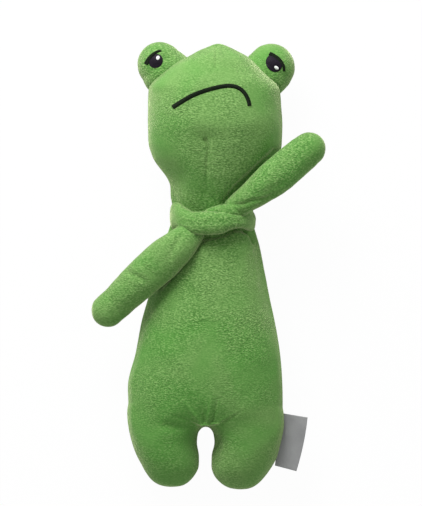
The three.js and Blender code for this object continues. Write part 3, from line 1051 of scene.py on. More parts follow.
@dataclass(frozen=True)
class BodySkin:
    """The plush skin of torso, head and legs: one sculpted surface, cut where the toy bends."""

    trunk: Loft = Loft((
        Station(-31.8, -0.8, 0.8, 33, 0.5),
        Station(-31.2, -3.4, 3.2, 33, 17),
        Station(-29.4, -13, 13, 33, 25.5),
        Station(-25, -42, 42, 33, 30),
        Station(-14, -59.4, 57.9, 33.6, 33.4),
        Station(-2, -59.9, 57.6, 34, 34.4),
        Station(22, -54.8, 55.3, 34.5, 34.6),
        Station(46, -51.2, 51.2, 33.5, 31.4),
        Station(70, -44.8, 45.4, 33, 28.7),
        Station(90, -39.2, 41, 33, 26),
        Station(106, -35.5, 37.6, 34, 23.2),
        Station(119, -31.4, 33.6, 34, 19.5),
        Station(128, -29.4, 31.0, 34.4, 18.8),
        Station(136, -29.8, 30.4, 34.8, 20.4),
        Station(143, -31, 31, 35.2, 23.2),
        Station(150, -31.2, 33, 36, 26.8),
        Station(157, -34, 38, 37.5, 28.9),
        Station(165, -40.6, 43.5, 39, 30.8),
        Station(172, -45.4, 48, 40, 33.0),
        Station(184, -49, 52, 40.5, 37.2),
        Station(198, -49.6, 52.2, 40.5, 41.2),
        Station(212, -49.8, 51, 40.5, 39.6),
        Station(224, -49.6, 49.8, 40.5, 37),
        Station(229, -46.4, 47.4, 40.5, 35),
        Station(234, -41, 42, 40.5, 32.2),
        Station(240, -34.6, 35.4, 40.5, 28.4),
        Station(246, -26, 29, 40.5, 24),
        Station(249.5, -19.2, 25, 40.5, 19.5),
        Station(253, -13.2, 18.6, 40.5, 14.5),
        Station(256, -6.2, 12.4, 40.5, 9.5),
        Station(258.2, -2, 7.4, 40.5, 5.5),
        Station(259.4, 0.6, 4.8, 40.5, 2.5),
        Station(259.8, 1.8, 3.2, 40.5, 0.5),
    ), 150, 120)
    left_leg: Loft = Loft((
        Station(-78.6, -27, -25, 31, 0.5),
        Station(-77.2, -34.2, -16.8, 31, 7),
        Station(-73.2, -40.6, -11, 31, 12.6),
        Station(-68, -44.8, -7, 31, 17),
        Station(-62, -48.2, -4.7, 31, 20.4),
        Station(-54, -52.6, -5, 31, 23),
        Station(-44, -56.3, -7, 31, 25),
        Station(-38, -57.8, -6.6, 31.3, 26.6),
        Station(-35, -58.4, -5.5, 31.5, 27.2),
        Station(-32.5, -58.9, -3.2, 31.8, 28),
        Station(-29.5, -59.4, 0, 32, 28.8),
        Station(-22, -59.9, 2, 32.6, 28.6),
        Station(-8, -57, -6, 33.4, 25),
        Station(6, -46, -14, 34, 15),
        Station(14, -31, -29, 34, 0.5),
    ))
    right_leg: Loft = Loft((
        Station(-79.2, 26, 28, 31, 0.5),
        Station(-77.6, 17.5, 35, 31, 7),
        Station(-73.2, 11, 41.4, 31, 12.6),
        Station(-68, 6.8, 46, 31, 17),
        Station(-62, 4.9, 50.2, 31, 20.4),
        Station(-54, 5, 54.4, 31, 23),
        Station(-44, 7, 56.8, 31, 25),
        Station(-38, 6.2, 58, 31.3, 26.6),
        Station(-35, 5.1, 58.5, 31.5, 27.2),
        Station(-32.5, 2.8, 58.8, 31.8, 28),
        Station(-29.5, 0, 59.2, 32, 28.8),
        Station(-22, -2, 58.9, 32.6, 28.6),
        Station(-8, 6, 55, 33.4, 25),
        Station(6, 14, 44, 34, 15),
        Station(14, 29, 31, 34, 0.5),
    ))
    crotch: Point = (0.0, -32.4, 31.0)
    hip_slope: Spot = (25.0, -35.0)
    neck_cut: float = 124.0
    neck_blend: Spot = (124.0, 148.0)
    neck_middle: float = 34.0
    leg_seam: tuple[Spot, ...] = ((-80.0, 31.0), (-30.0, 32.0))
    trunk_seam_from: int = 5
    crown_dart: Crease = Crease(((0.3, 256.0), (0.6, 248.0), (0.5, 240.0)), 0.7, 1.1)
    chin_dimples: tuple[Spot, ...] = ((0.7, 2.2), (0.8, 9.0))
    creases: tuple[Crease, ...] = (
        Crease(CHIN_LINE, 1.6, 1.1, 0.75),
        Crease(CHIN_LINE, 0.7, 5.0),
        Crease(((-30.0, -31.0), (-20.8, -32.4), (-11.0, -31.5)), 1.3, 3.4),
        Crease(
            ((-14.0, 112.4), (-4.3, 111.8), (3.2, 112.5), (11.3, 115.4), (17.2, 118.6), (27.0, 117.6)),
            2.4, 2.0,
        ),
        Crease(((25.0, 119.6), (30.0, 115.2), (33.2, 109.4)), 1.4, 1.2),
        Crease(((-2.1, 113.0), (-10.6, 103.4), (-19.0, 94.0), (-28.0, 84.0), (-37.0, 74.0)), 1.8, 2.0),
        Crease(((9.0, 139.5), (16.6, 148.4), (28.0, 159.5), (38.0, 169.0), (47.0, 178.0)), 2.0, 2.4),
        Crease(((-3.0, -28.5), (-17.4, -12.0)), -1.6, 1.6, 0.8),
        Crease(((1.0, -28.0), (4.0, -8.0)), -1.4, 1.4, 0.8),
        Crease(((9.0, -27.0), (22.0, -20.0)), -0.8, 1.8, 0.8),
        Crease(((5.0, -27.0), (8.6, -9.0)), 1.5, 1.1, 0.8),
        Crease(((-1.2, -27.0), (-5.0, -13.0)), 1.3, 1.1, 0.8),
        Crease(((12.0, -28.0), (26.0, -18.5)), 0.9, 1.3, 0.8),
        Crease(((-8.0, -29.0), (-24.0, -22.5)), 0.9, 1.4, 0.8),
    )
    swellings: tuple[Lumps, ...] = (Lumps(0.4, 38, 3), Lumps(0.15, 13, 4))
    seam: SideSeam = SideSeam()
    seam_share: Spot = (0.75, 0.35)
    front_share: Spot = (0.05, 0.5)
    hip_shares: tuple[Spot, ...] = ((62.0, 4.0), (-48.0, -30.0))
    hip_face: Spot = (0.3, 0.7)
    hip_rounds: int = 3
    hip_reach: float = 9.0
    stuffing: Stuffing = Stuffing()
    voxel: float = 1.05
    rounds: int = 12
    torso_fill: float = 0.8
    head_fill: float = 0.9
    leg_fill: float = 0.85

    def seam_height(self, y: Array) -> Array:
        """Give the height of the side seam at places along the body."""
        trunk = tuple((ring.at, ring.centre) for ring in self.trunk.stations[self.trunk_seam_from:])
        return smooth_curve(*np.array(self.leg_seam + trunk).T, y)

    def soften_hips(self, points: Array, upright: Array) -> None:
        """Even out the front where the legs melt into the belly, a few times over.

        Args:
            points: The skin's points in mm, which are moved.
            upright: How far each point faces the front or the back, from 0 to 1.
        """
        y, z = points[:, 1], points[:, 2]
        hips = smoothstep(y, *self.hip_shares[0]) * smoothstep(y, *self.hip_shares[1])
        hips *= smoothstep(upright, *self.hip_face)
        for _ in range(self.hip_rounds):
            z += hips * (near_mean(points, z, points, self.hip_reach) - z)

    def sculpt(self) -> bpy.types.Mesh:
        """Melt trunk and legs together and press the seams, darts and creases into the skin.

        Formula: each point moves along its normal by lumps and stuffing, plus the seam's relief on
        the sides and the creases' and dimples' on the front, and stays above the table.

        Returns:
            The whole skin.
        """
        shells = [form.shell() for form in (self.trunk, self.left_leg, self.right_leg)]
        skin = union_mesh(shells, self.voxel, self.rounds)
        points, normals = points_of(skin), normals_of(skin)
        upright = np.abs(normals[:, 2])
        self.soften_hips(points, upright)
        height = sum(swelling.over(points) for swelling in self.swellings) + self.stuffing.push(skin)
        seam_gap = points[:, 2] - self.seam_height(points[:, 1])
        height += smoothstep(upright, *self.seam_share) * self.seam.over(points[:, 1], seam_gap)
        pressed = sum(crease.over(points) for crease in self.creases)
        from_chin = np.linalg.norm(points[:, :2] - np.array(CHIN_LINE[0]), axis=1)
        pressed += sum(groove(from_chin, depth, width) for depth, width in self.chin_dimples)
        height += smoothstep(normals[:, 2], *self.front_share) * pressed + self.crown_dart.over(points)
        points = points + normals * height[:, None]
        points[:, 2] = np.maximum(points[:, 2], 0.0)
        move_points(skin, points)
        return skin

    def cut(self, skin: bpy.types.Mesh, name: str, planes: list[tuple[Vector, Vector]]) -> bpy.types.Object:
        """Keep what lies on the pointed side of every plane, close the cuts and place the piece.

        Args:
            skin: The whole skin.
            name: Name of the new piece.
            planes: A point in mm and the way to the kept side, for each plane.

        Returns:
            The closed part of the skin.
        """
        work = bmesh.new()
        work.from_mesh(skin)
        for point, way in planes:
            everything = work.verts[:] + work.edges[:] + work.faces[:]
            bmesh.ops.bisect_plane(work, geom=everything, dist=1e-7, plane_co=point * MM,
                                   plane_no=way.normalized(), clear_inner=True)
            rim = [edge for edge in work.edges if edge.is_boundary]
            bmesh.ops.holes_fill(work, edges=rim, sides=0)
            for edge in rim:
                edge.smooth = False
        made = bpy.data.meshes.new(name)
        work.to_mesh(made)
        work.free()
        return placed(name, made, PLUSH)

    def build(self) -> bpy.types.Object:
        """Make the torso, head and leg skins and hide the CAD pieces under them.

        Returns:
            The head's skin, which carries the mouth.
        """
        skin = self.sculpt()
        neck, crotch = Vector((0.0, self.neck_cut, 0.0)), Vector(self.crotch)
        headwards = Vector((0.0, 1.0, 0.0))
        sides = {"left": Vector((-1.0, 0.0, 0.0)), "right": Vector((1.0, 0.0, 0.0))}
        out, down = self.hip_slope
        hips = {name: side * out + headwards * down for name, side in sides.items()}
        torso = self.cut(skin, "torso_skin", [(neck, -headwards)] + [(crotch, -way) for way in hips.values()])
        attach(torso, "torso")
        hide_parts("torso_front_panel", "torso_back_panel")
        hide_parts("torso_front_filling", "torso_back_filling")
        head = self.cut(skin, "head_skin", [(neck, headwards)])
        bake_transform(head)
        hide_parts("head_front_panel", "head_back_panel", "head_filling")
        for name, way in hips.items():
            leg = self.cut(skin, f"{name}_leg_skin", [(crotch, way), (Vector(), sides[name])])
            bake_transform(leg)
            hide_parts(f"{name}_leg_front_panel", f"{name}_leg_back_panel", f"{name}_leg_filling")
        bpy.data.meshes.remove(skin)
        return head


# Arms and knot


@dataclass(frozen=True)
class Ring:
    """One ring of a tube: its middle and its half sizes across and in depth."""

    middle: Point
    across: float
    deep: float


@dataclass(frozen=True)
class StuffedTube:
    """A long stuffed limb: rings along a path, round at both ends, with a seam along each side."""

    rings: tuple[Ring, ...]
    upright: Point = (0.0, 0.0, 1.0)
    fullness: float = 1.0
    seam: float = 0.8
    seam_width: float = 1.1
    swell: Spot = (0.6, 24.0)
    ripple: Spot = (0.22, 8.0)
    front_share: Spot = (0.0, 0.5)
    seed: int = 11
    creases: tuple[Crease, ...] = ()
    crowding: float = 0.55
    rows: int = 190
    sides: int = 96

    def read(self, key: str, path: Array, length: Array, at: Array) -> Array:
        """Read one half size of the rings smoothly at lengths along the path.

        Args:
            key: Name of the half size.
            path: Points of the path through the rings' middles.
            length: Length at each of them.
            at: Lengths to read at.

        Returns:
            The half size at each length.
        """
        near = [length[np.linalg.norm(path - np.array(ring.middle), axis=1).argmin()] for ring in self.rings]
        return smooth_curve(np.array(near), np.array([getattr(ring, key) for ring in self.rings]), at)

    def relief(self, points: Array, spokes: Array, from_seam: Array) -> Array:
        """Give the height of lumps, ripples, side seams and creases at the tube's points.

        Args:
            points: The smooth tube's points in mm.
            spokes: Way out of the tube at each point.
            from_seam: Distance to the nearer side seam.

        Returns:
            The height in mm at each point.
        """
        height = Lumps(*self.swell, self.seed).over(points) + Lumps(*self.ripple, self.seed + 1).over(points)
        front = smoothstep(spokes[:, 2], *self.front_share)
        for crease in self.creases:
            height += front * crease.tapered(points)
        return height + groove(from_seam, self.seam, self.seam_width)

    def shell(self) -> Shell:
        """Carry an oval along the path and close it with round ends.

        Formula: middle(s) + across(s) * e(s) * cos(a) * side + deep(s) * e(s) * sin(a) * lift,
        where e(s) = sqrt(1 - t^2) falls from 1 to 0 over the last half width of each end, moved
        out along its spokes by the relief.

        Returns:
            The closed tube.
        """
        path = even_path(np.array([ring.middle for ring in self.rings]), self.rows * 3)
        length = lengths_along(path)
        s = length[-1] * crowded(self.rows, self.crowding)
        middle = read_path(path, length, s)
        tangent = unit(read_path(np.gradient(path, axis=0), length, s))
        upright = np.array(self.upright)
        lift = unit(upright - tangent * (tangent @ upright)[:, None])
        side = np.cross(tangent, lift)
        across, deep = (self.read(key, path, length, s) for key in ("across", "deep"))
        ends = ((s, self.rings[0]), (length[-1] - s, self.rings[-1]))
        rounding = math.prod(np.sqrt(1 - np.clip(1 - left / ring.across, 0, 1) ** 2) for left, ring in ends)
        angle = full_turn(self.sides)
        waves = (np.cos(angle), np.sin(angle))
        cosine, sine = (filled_out(wave, self.fullness)[None, :, None] for wave in waves)
        out = (across * rounding)[:, None, None] * cosine * side[:, None]
        up = (deep * rounding)[:, None, None] * sine * lift[:, None]
        spokes = unit(out + up + 1e-9)
        grid = middle[:, None] + out + up
        from_seam = np.abs(np.sin(angle))[None] * deep[:, None]
        relief = self.relief(grid.reshape(-1, 3), spokes.reshape(-1, 3), from_seam.ravel())
        height = relief.reshape(grid.shape[:2]) * rounding[:, None]
        return tube_shell(grid + spokes * height[..., None])


@dataclass(frozen=True)
class Arm:
    """One long arm out of the knot, with its pivot and its heading in degrees from +X."""

    name: str
    tube: StuffedTube
    pivot: Point
    heading: float
    bend: Spot = (-8.0, 14.0)
    fill: float = 0.9
    stuffing: Stuffing = Stuffing(voxel=4.0, most=1.0, spread=4.0)

    def build(self) -> None:
        """Make the arm's skin and stuff it."""
        mesh = self.tube.shell().mesh(f"{self.name}_skin")
        push = self.stuffing.push(mesh)
        move_points(mesh, points_of(mesh) + normals_of(mesh) * push[:, None])
        piece = placed(f"{self.name}_skin", mesh, PLUSH)
        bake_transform(piece)
        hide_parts(f"{self.name}_front_panel", f"{self.name}_back_panel", f"{self.name}_filling")


@dataclass(frozen=True)
class Strand:
    """One strand of the overhand knot in front of the neck, laid on edge."""

    name: str
    tube: StuffedTube
    fill: float = 0.8

    def build(self) -> None:
        """Make the strand's skin, which rides on the torso."""
        piece = self.tube.shell().piece(f"{self.name}_skin", PLUSH)
        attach(piece, "torso")
        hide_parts(f"{self.name}_cover", f"{self.name}_filling")


@dataclass(frozen=True)
class TiedArms:
    """Both long arms and the overhand knot that ties them in front of the neck."""

    lowered: Arm = Arm(
        "lowered_arm",
        StuffedTube(
            rings=(
                Ring((-8.0, 123.0, 51.0), 7.5, 6.5),
                Ring((-14.6, 115.2, 56.0), 10.2, 8.8),
                Ring((-24.6, 104.4, 60.0), 13.6, 11.6),
                Ring((-38.8, 91.4, 58.5), 15.2, 12.8),
                Ring((-57.0, 73.9, 54.0), 14.0, 12.6),
                Ring((-74.8, 56.4, 49.0), 12.6, 12.0),
                Ring((-85.3, 46.3, 46.5), 11.9, 11.6),
            ),
            seed=21,
            creases=(
                Crease(((-20.0, 115.0), (-27.0, 104.0), (-31.0, 93.0)), 1.3, 2.4),
                Crease(((-45.0, 96.0), (-44.0, 86.0), (-38.0, 78.0)), 0.9, 3.0),
                Crease(((-66.0, 86.5), (-57.0, 82.0), (-48.0, 77.5)), 1.6, 2.6),
                Crease(((-50.0, 91.0), (-46.0, 84.0), (-44.0, 74.0)), 0.8, 2.4),
                Crease(((-78.0, 68.0), (-72.0, 61.0), (-68.0, 52.0)), 0.7, 2.6),
            ),
        ),
        pivot=(-25.3, 106.8, 63.0),
        heading=225.3,
    )
    raised: Arm = Arm(
        "raised_arm",
        StuffedTube(
            rings=(
                Ring((13.0, 129.4, 51.0), 8.4, 7.0),
                Ring((23.6, 139.4, 60.0), 9.8, 9.0),
                Ring((35.8, 149.0, 65.0), 12.0, 11.0),
                Ring((48.9, 159.6, 67.0), 13.9, 12.4),
                Ring((62.7, 172.1, 66.5), 13.7, 12.4),
                Ring((82.0, 188.8, 66.0), 11.4, 11.4),
            ),
            seed=31,
            creases=(
                Crease(((16.0, 137.4), (23.0, 137.6), (30.0, 140.2), (40.0, 142.2), (50.0, 147.0)), 1.8, 1.5),
                Crease(((34.0, 145.0), (46.0, 149.5), (56.0, 156.0)), 0.9, 3.2),
            ),
        ),
        pivot=(30.6, 142.4, 67.0),
        heading=42.4,
    )
    front: Strand = Strand("knot_front", StuffedTube(
        rings=(
            Ring((28.6, 125.5, 24.0), 3.8, 7.0),
            Ring((29.6, 125.0, 38.0), 4.5, 8.0),
            Ring((26.8, 125.2, 50.0), 5.2, 6.6),
            Ring((20.8, 125.5, 58.5), 6.0, 5.6),
            Ring((13.0, 124.8, 62.6), 6.8, 6.8),
            Ring((5.0, 123.3, 64.2), 7.4, 8.4),
            Ring((-3.0, 122.9, 64.4), 7.6, 9.0),
            Ring((-10.0, 122.6, 63.2), 7.4, 8.7),
            Ring((-16.0, 123.4, 60.4), 6.8, 8.0),
            Ring((-21.5, 126.2, 55.0), 6.2, 8.2),
            Ring((-25.8, 127.6, 46.5), 5.3, 10.0),
            Ring((-26.9, 127.8, 36.0), 4.5, 10.6),
            Ring((-26.0, 128.0, 24.0), 3.8, 8.0),
        ),
        upright=(0.0, 1.0, 0.0),
        fullness=0.82,
        seam=0.15,
        seed=41,
        creases=(Crease(((-15.6, 130.4), (-14.0, 127.5), (-11.0, 125.5)), 0.9, 1.2),),
    ))
    rear: Strand = Strand("knot_rear", StuffedTube(
        rings=(
            Ring((-5.0, 127.0, 57.0), 4.6, 4.6),
            Ring((3.0, 131.2, 60.5), 5.4, 5.0),
            Ring((10.0, 132.8, 61.8), 5.6, 4.9),
            Ring((18.0, 132.9, 60.4), 5.6, 4.9),
            Ring((24.6, 132.2, 54.5), 5.2, 5.0),
            Ring((27.6, 130.6, 46.0), 4.4, 5.6),
            Ring((28.2, 130.0, 34.0), 3.8, 5.8),
        ),
        upright=(0.0, 1.0, 0.0),
        fullness=0.88,
        seam=0.15,
        seed=51,
    ))

    def build(self) -> None:
        """Make both arms and both strands of the knot."""
        for part in (self.lowered, self.raised, self.front, self.rear):
            part.build()


# Embroidery


@dataclass(frozen=True)
class SatinLine:
    """A line of satin stitch: threads laid across a drawn path, domed and close together."""

    path: tuple[Spot, ...]
    widths: tuple[float, ...]
    tall: float = 0.95
    pitch: float = 0.5
    ridge: float = 0.09
    end_run: float = 0.7
    sunk: float = 0.5
    reads: int = 200
    rows_per_thread: int = 6
    columns: int = 15

    def shell(self, carrier: bpy.types.Object) -> Shell:
        """Lay the line on its carrier.

        Formula: height = tall * sqrt(1 - u^2) + ridge * cos(2 pi s / pitch), u across from -1 to 1,
        run out at both ends.

        Args:
            carrier: The piece that it is sewn to.

        Returns:
            The closed line.
        """
        path = np.array(self.path)
        length = float(lengths_along(even_path(path, self.reads))[-1])
        rows = int(length / self.pitch * self.rows_per_thread)
        middle = even_path(path, rows)
        tangent = unit(np.gradient(middle, axis=0))
        side = np.stack([-tangent[:, 1], tangent[:, 0]], axis=1)
        half = np.interp(np.linspace(0, 1, rows), np.linspace(0, 1, len(self.widths)), self.widths) / 2
        u = np.sin(np.linspace(-np.pi / 2, np.pi / 2, self.columns))
        base = settled(middle[:, None] + side[:, None] * (half[:, None] * u[None])[..., None], carrier)
        s = np.linspace(0, length, rows)[:, None]
        ends = np.sqrt(np.clip(np.minimum(s, length - s) / self.end_run, 0, 1))
        dome = np.sqrt(np.clip(1 - u[None] ** 2, 0, 1))
        height = ends * dome * (self.tall + self.ridge * np.cos(2 * np.pi * s / self.pitch))
        return lifted(base, height, self.sunk)


@dataclass(frozen=True)
class SatinPatch:
    """A patch of satin stitch: an oval, turned, and cut off straight at a share of its upper half."""

    centre: Spot
    half: Spot
    turn: float = 0.0
    cut: float = 1.0
    tall: float = 0.75
    pitch: float = 0.5
    ridge: float = 0.08
    bluntness: float = 0.35
    sunk: float = 0.5
    rows: int = 90
    columns: int = 40

    def shell(self, carrier: bpy.types.Object) -> Shell:
        """Lay the patch on its carrier.

        Formula: rows across the oval, each running from its lower edge to the upper one or the cut;
        height = (tall + ridges along s) * (4 v (1 - v))^bluntness * sqrt(sin a).

        Args:
            carrier: The piece that it is sewn to.

        Returns:
            The closed patch.
        """
        angle = np.linspace(0, np.pi, self.rows)
        s, low = -np.cos(angle), -np.sin(angle)
        high = np.minimum(-low, self.cut)
        v = (1 - np.cos(np.linspace(0, np.pi, self.columns))) / 2
        b = low[:, None] + (high - low)[:, None] * v[None]
        along, down = np.cos(self.turn), np.sin(self.turn)
        local_x, local_y = s[:, None] * self.half[0] + 0 * b, b * self.half[1]
        x = self.centre[0] + local_x * along - local_y * down
        y = self.centre[1] + local_x * down + local_y * along
        base = settled(np.stack([x, y], axis=2), carrier)
        dome = (4 * v * (1 - v))[None] ** self.bluntness * np.sqrt(np.sin(angle).clip(0))[:, None]
        ridges = self.ridge * np.cos(2 * np.pi * local_x / self.pitch)
        return lifted(base, dome * (self.tall + ridges), self.sunk)


@dataclass(frozen=True)
class EyeKnob:
    """One bulging eye: a stuffed knob on the brow, with a stitched lid, pupil and glint."""

    body: str
    knob: StuffedTube
    root: Point
    centre: Point
    lid: SatinLine
    pupil: SatinPatch
    glint: SatinPatch
    fill: float = 0.95

    def build(self) -> None:
        """Make the knob and its stitching, and let the stitching ride on the eye."""
        ball = self.knob.shell().piece(f"{self.body}_skin", PLUSH)
        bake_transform(ball)
        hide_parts(f"{self.body}_front_panel", f"{self.body}_back_panel", f"{self.body}_filling")
        stitching = (("lid", self.lid, BLACK), ("pupil", self.pupil, CHARCOAL), ("glint", self.glint, WHITE))
        for part, shape, finish in stitching:
            piece = shape.shell(ball).piece(f"{self.body}_{part}_satin", finish)
            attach(piece, self.body)
            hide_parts(f"{self.body}_{part}_stitching")


@dataclass(frozen=True)
class Face:
    """The stitched mouth and both eyes."""

    mouth: SatinLine = SatinLine(
        (
            (-31.0, 209.0), (-24.4, 213.3), (-18.0, 217.2), (-8.8, 221.3), (0.4, 224.2), (7.0, 225.7),
            (13.0, 226.1), (18.2, 224.7), (22.4, 221.4), (25.0, 217.2), (26.3, 213.6), (26.7, 211.4),
        ),
        (3.5, 3.4, 3.2, 3.1, 2.9),
        tall=1.15,
    )
    left: EyeKnob = EyeKnob(
        "left_eye",
        StuffedTube(
            rings=(
                Ring((-28.0, 226.4, 27.5), 14.0, 12.0),
                Ring((-36.0, 236.2, 28.5), 19.4, 18.2),
                Ring((-39.5, 240.4, 28.0), 18.5, 18.0),
                Ring((-42.0, 243.3, 28.0), 17.5, 17.4),
                Ring((-52.8, 256.4, 28.0), 17.0, 17.2),
            ),
            seed=61,
            rows=130,
        ),
        root=(-34.0, 233.6, 28.5),
        centre=(-41.0, 242.0, 28.0),
        lid=SatinLine(
            ((-52.4, 242.2), (-50.4, 246.2), (-47.3, 249.7), (-44.0, 252.0), (-40.8, 252.9)),
            (3.6, 3.1, 2.6, 2.1, 1.3),
            tall=0.85,
        ),
        pupil=SatinPatch((-44.9, 244.9), (5.6, 5.2), turn=0.72, cut=0.8),
        glint=SatinPatch((-43.3, 247.1), (1.35, 1.75), turn=-0.3, tall=1.3, ridge=0.04),
    )
    right: EyeKnob = EyeKnob(
        "right_eye",
        StuffedTube(
            rings=(
                Ring((25.0, 217.5, 27.5), 15.5, 12.0),
                Ring((33.4, 229.6, 27.5), 17.4, 14.6),
                Ring((39.0, 238.1, 28.5), 18.8, 18.0),
                Ring((41.2, 240.8, 28.0), 18.8, 17.9),
                Ring((42.9, 243.3, 28.0), 18.3, 17.5),
                Ring((53.1, 257.9, 28.0), 17.8, 17.4),
            ),
            seed=71,
            rows=130,
        ),
        root=(36.0, 233.6, 28.5),
        centre=(41.0, 242.0, 28.0),
        lid=SatinLine(
            ((41.0, 252.9), (45.1, 250.8), (49.0, 247.8), (51.7, 244.0), (52.7, 239.6)),
            (3.0, 3.1, 2.9, 2.5, 1.8),
            tall=0.85,
        ),
        pupil=SatinPatch((44.7, 245.3), (6.9, 5.9), turn=-0.95, cut=0.85),
        glint=SatinPatch((46.6, 242.0), (1.85, 1.3), turn=-0.55, tall=1.3, ridge=0.04),
    )

    def build(self, head: bpy.types.Object) -> None:
        """Lay the mouth on the head and make the eyes.

        Args:
            head: The head's skin.
        """
        mouth = self.mouth.shell(head).piece("mouth_satin", BLACK)
        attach(mouth, "head")
        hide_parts("mouth_stitching")
        self.left.build()
        self.right.build()


# Label and squeaker


@dataclass(frozen=True)
class SideLabel:
    """The bare folded ribbon in the right side seam."""

    top: Spot = (57.6, -20.2)
    bottom: Spot = (53.2, -60.2)
    reach: Spot = (19.6, -2.8)
    slant: Spot = (-3.1, -1.1)
    bow: float = 1.1
    height: float = 31.0
    layer: float = 0.42
    gap: float = 0.5
    sag: float = 1.2
    wave: float = 0.5
    waves: float = 1.1
    phase: float = 0.6
    rows: int = 60
    straight: int = 30
    bend: int = 12

    def section(self, long: float) -> Array:
        """Draw the ribbon's section: out along the lower layer, round the fold and back above it.

        Args:
            long: How far the fold lies from the seam.

        Returns:
            Points round the section, as distance from the seam and height.
        """
        outer = self.gap / 2 + self.layer
        out = np.linspace(0, 1, self.straight) * (long - outer)
        turn = np.linspace(-np.pi / 2, np.pi / 2, self.bend + 2)[1:-1]

        sides = []
        for radius in (outer, self.gap / 2):
            flat = np.full(self.straight, radius)
            across = np.concatenate([out, long - outer + radius * np.cos(turn), out[::-1]])
            height = np.concatenate([-flat, radius * np.sin(turn), flat])
            sides.append(np.stack([across, height], axis=1))
        return np.concatenate([sides[0], sides[1][::-1]])

    def shell(self) -> Shell:
        """Fold a ribbon in two along its outer edge.

        Formula: the section is carried along the seam, slanted and bowed in proportion to the
        distance u from it, with a slight wave and sag in proportion to u^2, and strips between
        the layers close both ends.

        Returns:
            The closed ribbon.
        """
        long = float(np.hypot(*self.reach))
        section = self.section(long)
        v = np.linspace(0, 1, self.rows)[:, None]
        top, bottom = np.array(self.top), np.array(self.bottom)
        root = top[None] + (bottom - top)[None] * v
        way = unit(np.array(self.reach))
        u = section[:, 0][None]
        x = root[:, :1] + u * way[0] + (self.slant[0] * v + self.bow * 4 * v * (1 - v)) * u / long
        y = root[:, 1:] + u * way[1] + self.slant[1] * v * u / long
        wave = self.wave * np.sin(2 * np.pi * self.waves * v + self.phase)
        z = self.height + section[:, 1][None] + (wave - self.sag) * (u / long) ** 2
        grid = np.stack([x, y, z], axis=2)
        sides = len(section)
        ids = np.arange(self.rows * sides).reshape(self.rows, sides)
        turned = np.roll(ids, -1, axis=1)
        quads = np.stack([ids[:-1], ids[1:], turned[1:], turned[:-1]], axis=-1).reshape(-1, 4)
        near = np.arange(sides // 2)
        far = sides - 1 - near
        strips = [
            np.stack([row[near[:-1]], row[near[1:]], row[far[1:]], row[far[:-1]]], axis=1)
            for row in (ids[0], ids[-1][::-1])
        ]
        return Shell(grid.reshape(-1, 3), np.concatenate([quads, *strips]))

    def build(self) -> None:
        """Make the label and hang it on the label's body."""
        mesh = self.shell().mesh("folded_label")
        work = bmesh.new()
        work.from_mesh(mesh)
        bmesh.ops.recalc_face_normals(work, faces=work.faces[:])
        work.to_mesh(mesh)
        work.free()
        label = placed("folded_label", mesh, RIBBON)
        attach(label, "label")
        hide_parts("side_label")


@dataclass(frozen=True)
class Squeaker:
    """The squeaker in the belly: its CAD cups and reed in vinyl and plastic, and a folded bellows."""

    middle: Point = (0.0, 22.0, 34.0)
    radius: float = 22.0
    fold_depth: float = 4.0
    folds: int = 3
    half_height: float = 6.7
    wall: float = 1.2
    travel: float = 8.0
    steps: int = 43
    sides: int = 96
    finishes: tuple[tuple[str, Finish], ...] = (
        ("squeaker_back_cup", VINYL),
        ("squeaker_front_cup", VINYL),
        ("squeaker_reed", VINYL),
        ("squeaker_reed_holder", REED),
    )

    def shell(self) -> Shell:
        """Turn the folded wall about the squeaker's axis.

        Formula: radius(z) = outer - depth * (1 - cos(2 pi folds t)) / 2 going up the outside, and
        the same less the wall coming down the inside, turned through a full circle.

        Returns:
            The closed wall.
        """
        t = np.linspace(0, 1, self.steps)
        outer = self.radius - self.fold_depth * (1 - np.cos(2 * np.pi * self.folds * t)) / 2
        height = self.half_height * (2 * t - 1)
        radius = np.concatenate([outer, outer[::-1] - self.wall])[:, None]
        z = np.concatenate([height, height[::-1]])[:, None]
        angle = full_turn(self.sides)[None]
        x, y, z = np.broadcast_arrays(radius * np.cos(angle), radius * np.sin(angle), z)
        grid = np.stack([x, y, z], axis=2) + np.array(self.middle)
        ids = np.arange(x.size).reshape(x.shape)
        above, turned = np.roll(ids, -1, axis=0), np.roll(ids, -1, axis=1)
        quads = np.stack([ids, turned, np.roll(above, -1, axis=1), above], axis=-1)
        return Shell(grid.reshape(-1, 3), quads.reshape(-1, 4))

    def build(self) -> None:
        """Make the bellows in place of the CAD one, hang it on the torso, and dress the CAD pieces."""
        bellows = self.shell().piece("folded_bellows", VINYL)
        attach(bellows, "torso")
        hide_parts("squeaker_bellows")
        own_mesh(bellows)
        for name, finish in self.finishes:
            for slot in bpy.data.objects[name].material_slots:
                slot.material = finish.material()
            LOG.info("%s: %s", name, finish.slot.value)


# Studio


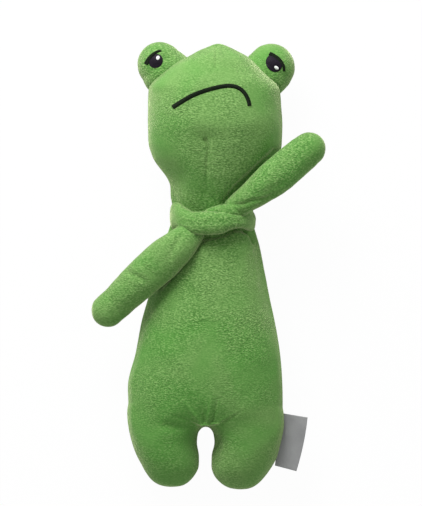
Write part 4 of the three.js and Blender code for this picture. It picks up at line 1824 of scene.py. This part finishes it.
@dataclass(frozen=True)
class Studio:
    """The camera straight above the toy, a soft key light from beyond its head, and the floor."""

    aim: Point = (0.55, 100.4, 37.0)
    distance: float = 3000.0
    roll: float = math.radians(1.42)
    view_height: float = 384.6
    sensor: float = 36.0
    key_spot: Point = (-360.0, 1150.0, 780.0)
    key_aim: Point = (0.0, 100.0, 40.0)
    key_size: float = 700.0
    key_energy: float = 22.0
    fill: float = 0.49
    backdrop: float = 0.97
    paper: float = 0.9
    paper_roughness: float = 0.9
    floor_reach: float = 3000.0
    floor_drop: float = 0.1

    def camera(self) -> None:
        """Set the camera above the toy."""
        data = bpy.data.cameras.new("camera")
        data.sensor_width = self.sensor
        data.lens = self.sensor * self.distance / self.view_height
        made = in_scene("camera", data)
        made.location = (Vector(self.aim) + Vector((0, 0, self.distance))) * MM
        made.rotation_euler = (0.0, 0.0, self.roll)
        bpy.context.scene.camera = made

    def key_light(self) -> None:
        """Hang a square soft light that faces the toy."""
        data = bpy.data.lights.new("key_light", "AREA")
        data.size = self.key_size * MM
        data.energy = self.key_energy
        made = in_scene("key_light", data)
        made.location = Vector(self.key_spot) * MM
        toward = Vector(self.key_aim) - Vector(self.key_spot)
        made.rotation_euler = toward.to_track_quat("-Z", "Y").to_euler()

    def seen_rays(self, nodes: Nodes) -> Socket:
        """Tell the rays that show the background, straight, mirrored or through glass, from the rest.

        Args:
            nodes: The nodes to add to.

        Returns:
            One on those rays and nought on the rest.
        """
        ray = nodes.node("ShaderNodeLightPath")
        seen = ray.outputs["Is Camera Ray"]
        for kind in ("Is Glossy Ray", "Is Transmission Ray"):
            seen = nodes.worked("MAXIMUM", seen, ray.outputs[kind])
        return seen

    def world(self) -> None:
        """Fill the room with even light and show it white."""
        world = bpy.data.worlds.new("room")
        bpy.context.scene.world = world
        world.use_nodes = True
        nodes = Nodes(world.node_tree)
        strength = nodes.ranged(self.seen_rays(nodes), 0.0, 1.0, self.fill, 1.0)
        light = nodes.node("ShaderNodeBackground", Color=(1.0, 1.0, 1.0, 1.0), Strength=strength)
        nodes.node("ShaderNodeOutputWorld", Surface=light.outputs[0])

    def floor(self) -> None:
        """Lay a pale floor that keeps a faint shadow."""
        corners = np.array([(-1.0, -1.0), (1.0, -1.0), (1.0, 1.0), (-1.0, 1.0)]) * self.floor_reach
        points = np.column_stack([corners, np.full(len(corners), -self.floor_drop)])
        floor = in_scene("floor", Shell(points, np.array([[0, 1, 2, 3]])).mesh("floor"))
        material = bpy.data.materials.new("floor_paper")
        material.use_nodes = True
        nodes = Nodes(material.node_tree)
        paper = nodes.node("ShaderNodeBsdfPrincipled", Base_Color=(self.paper, self.paper, self.paper, 1.0),
                           Roughness=self.paper_roughness)
        glow = nodes.node("ShaderNodeEmission", Strength=1.0)
        mix = nodes.node("ShaderNodeMixShader", Fac=nodes.times(self.seen_rays(nodes), self.backdrop))
        nodes.feed(mix.inputs[1], paper.outputs[0])
        nodes.feed(mix.inputs[2], glow.outputs[0])
        nodes.node("ShaderNodeOutputMaterial", Surface=mix.outputs[0])
        floor.data.materials.append(material)

    def build(self) -> None:
        """Set up camera, light, room and floor."""
        bpy.context.scene.view_settings.view_transform = "Standard"
        self.camera()
        self.key_light()
        self.world()
        self.floor()


def main() -> None:
    """Dress the toy piece by piece and set up its studio."""
    logging.basicConfig(level=logging.INFO, format="%(message)s")
    Studio().build()
    head = BodySkin().build()
    TiedArms().build()
    Face().build(head)
    SideLabel().build()
    Squeaker().build()
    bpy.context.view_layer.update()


if __name__ == "__main__":
    main()
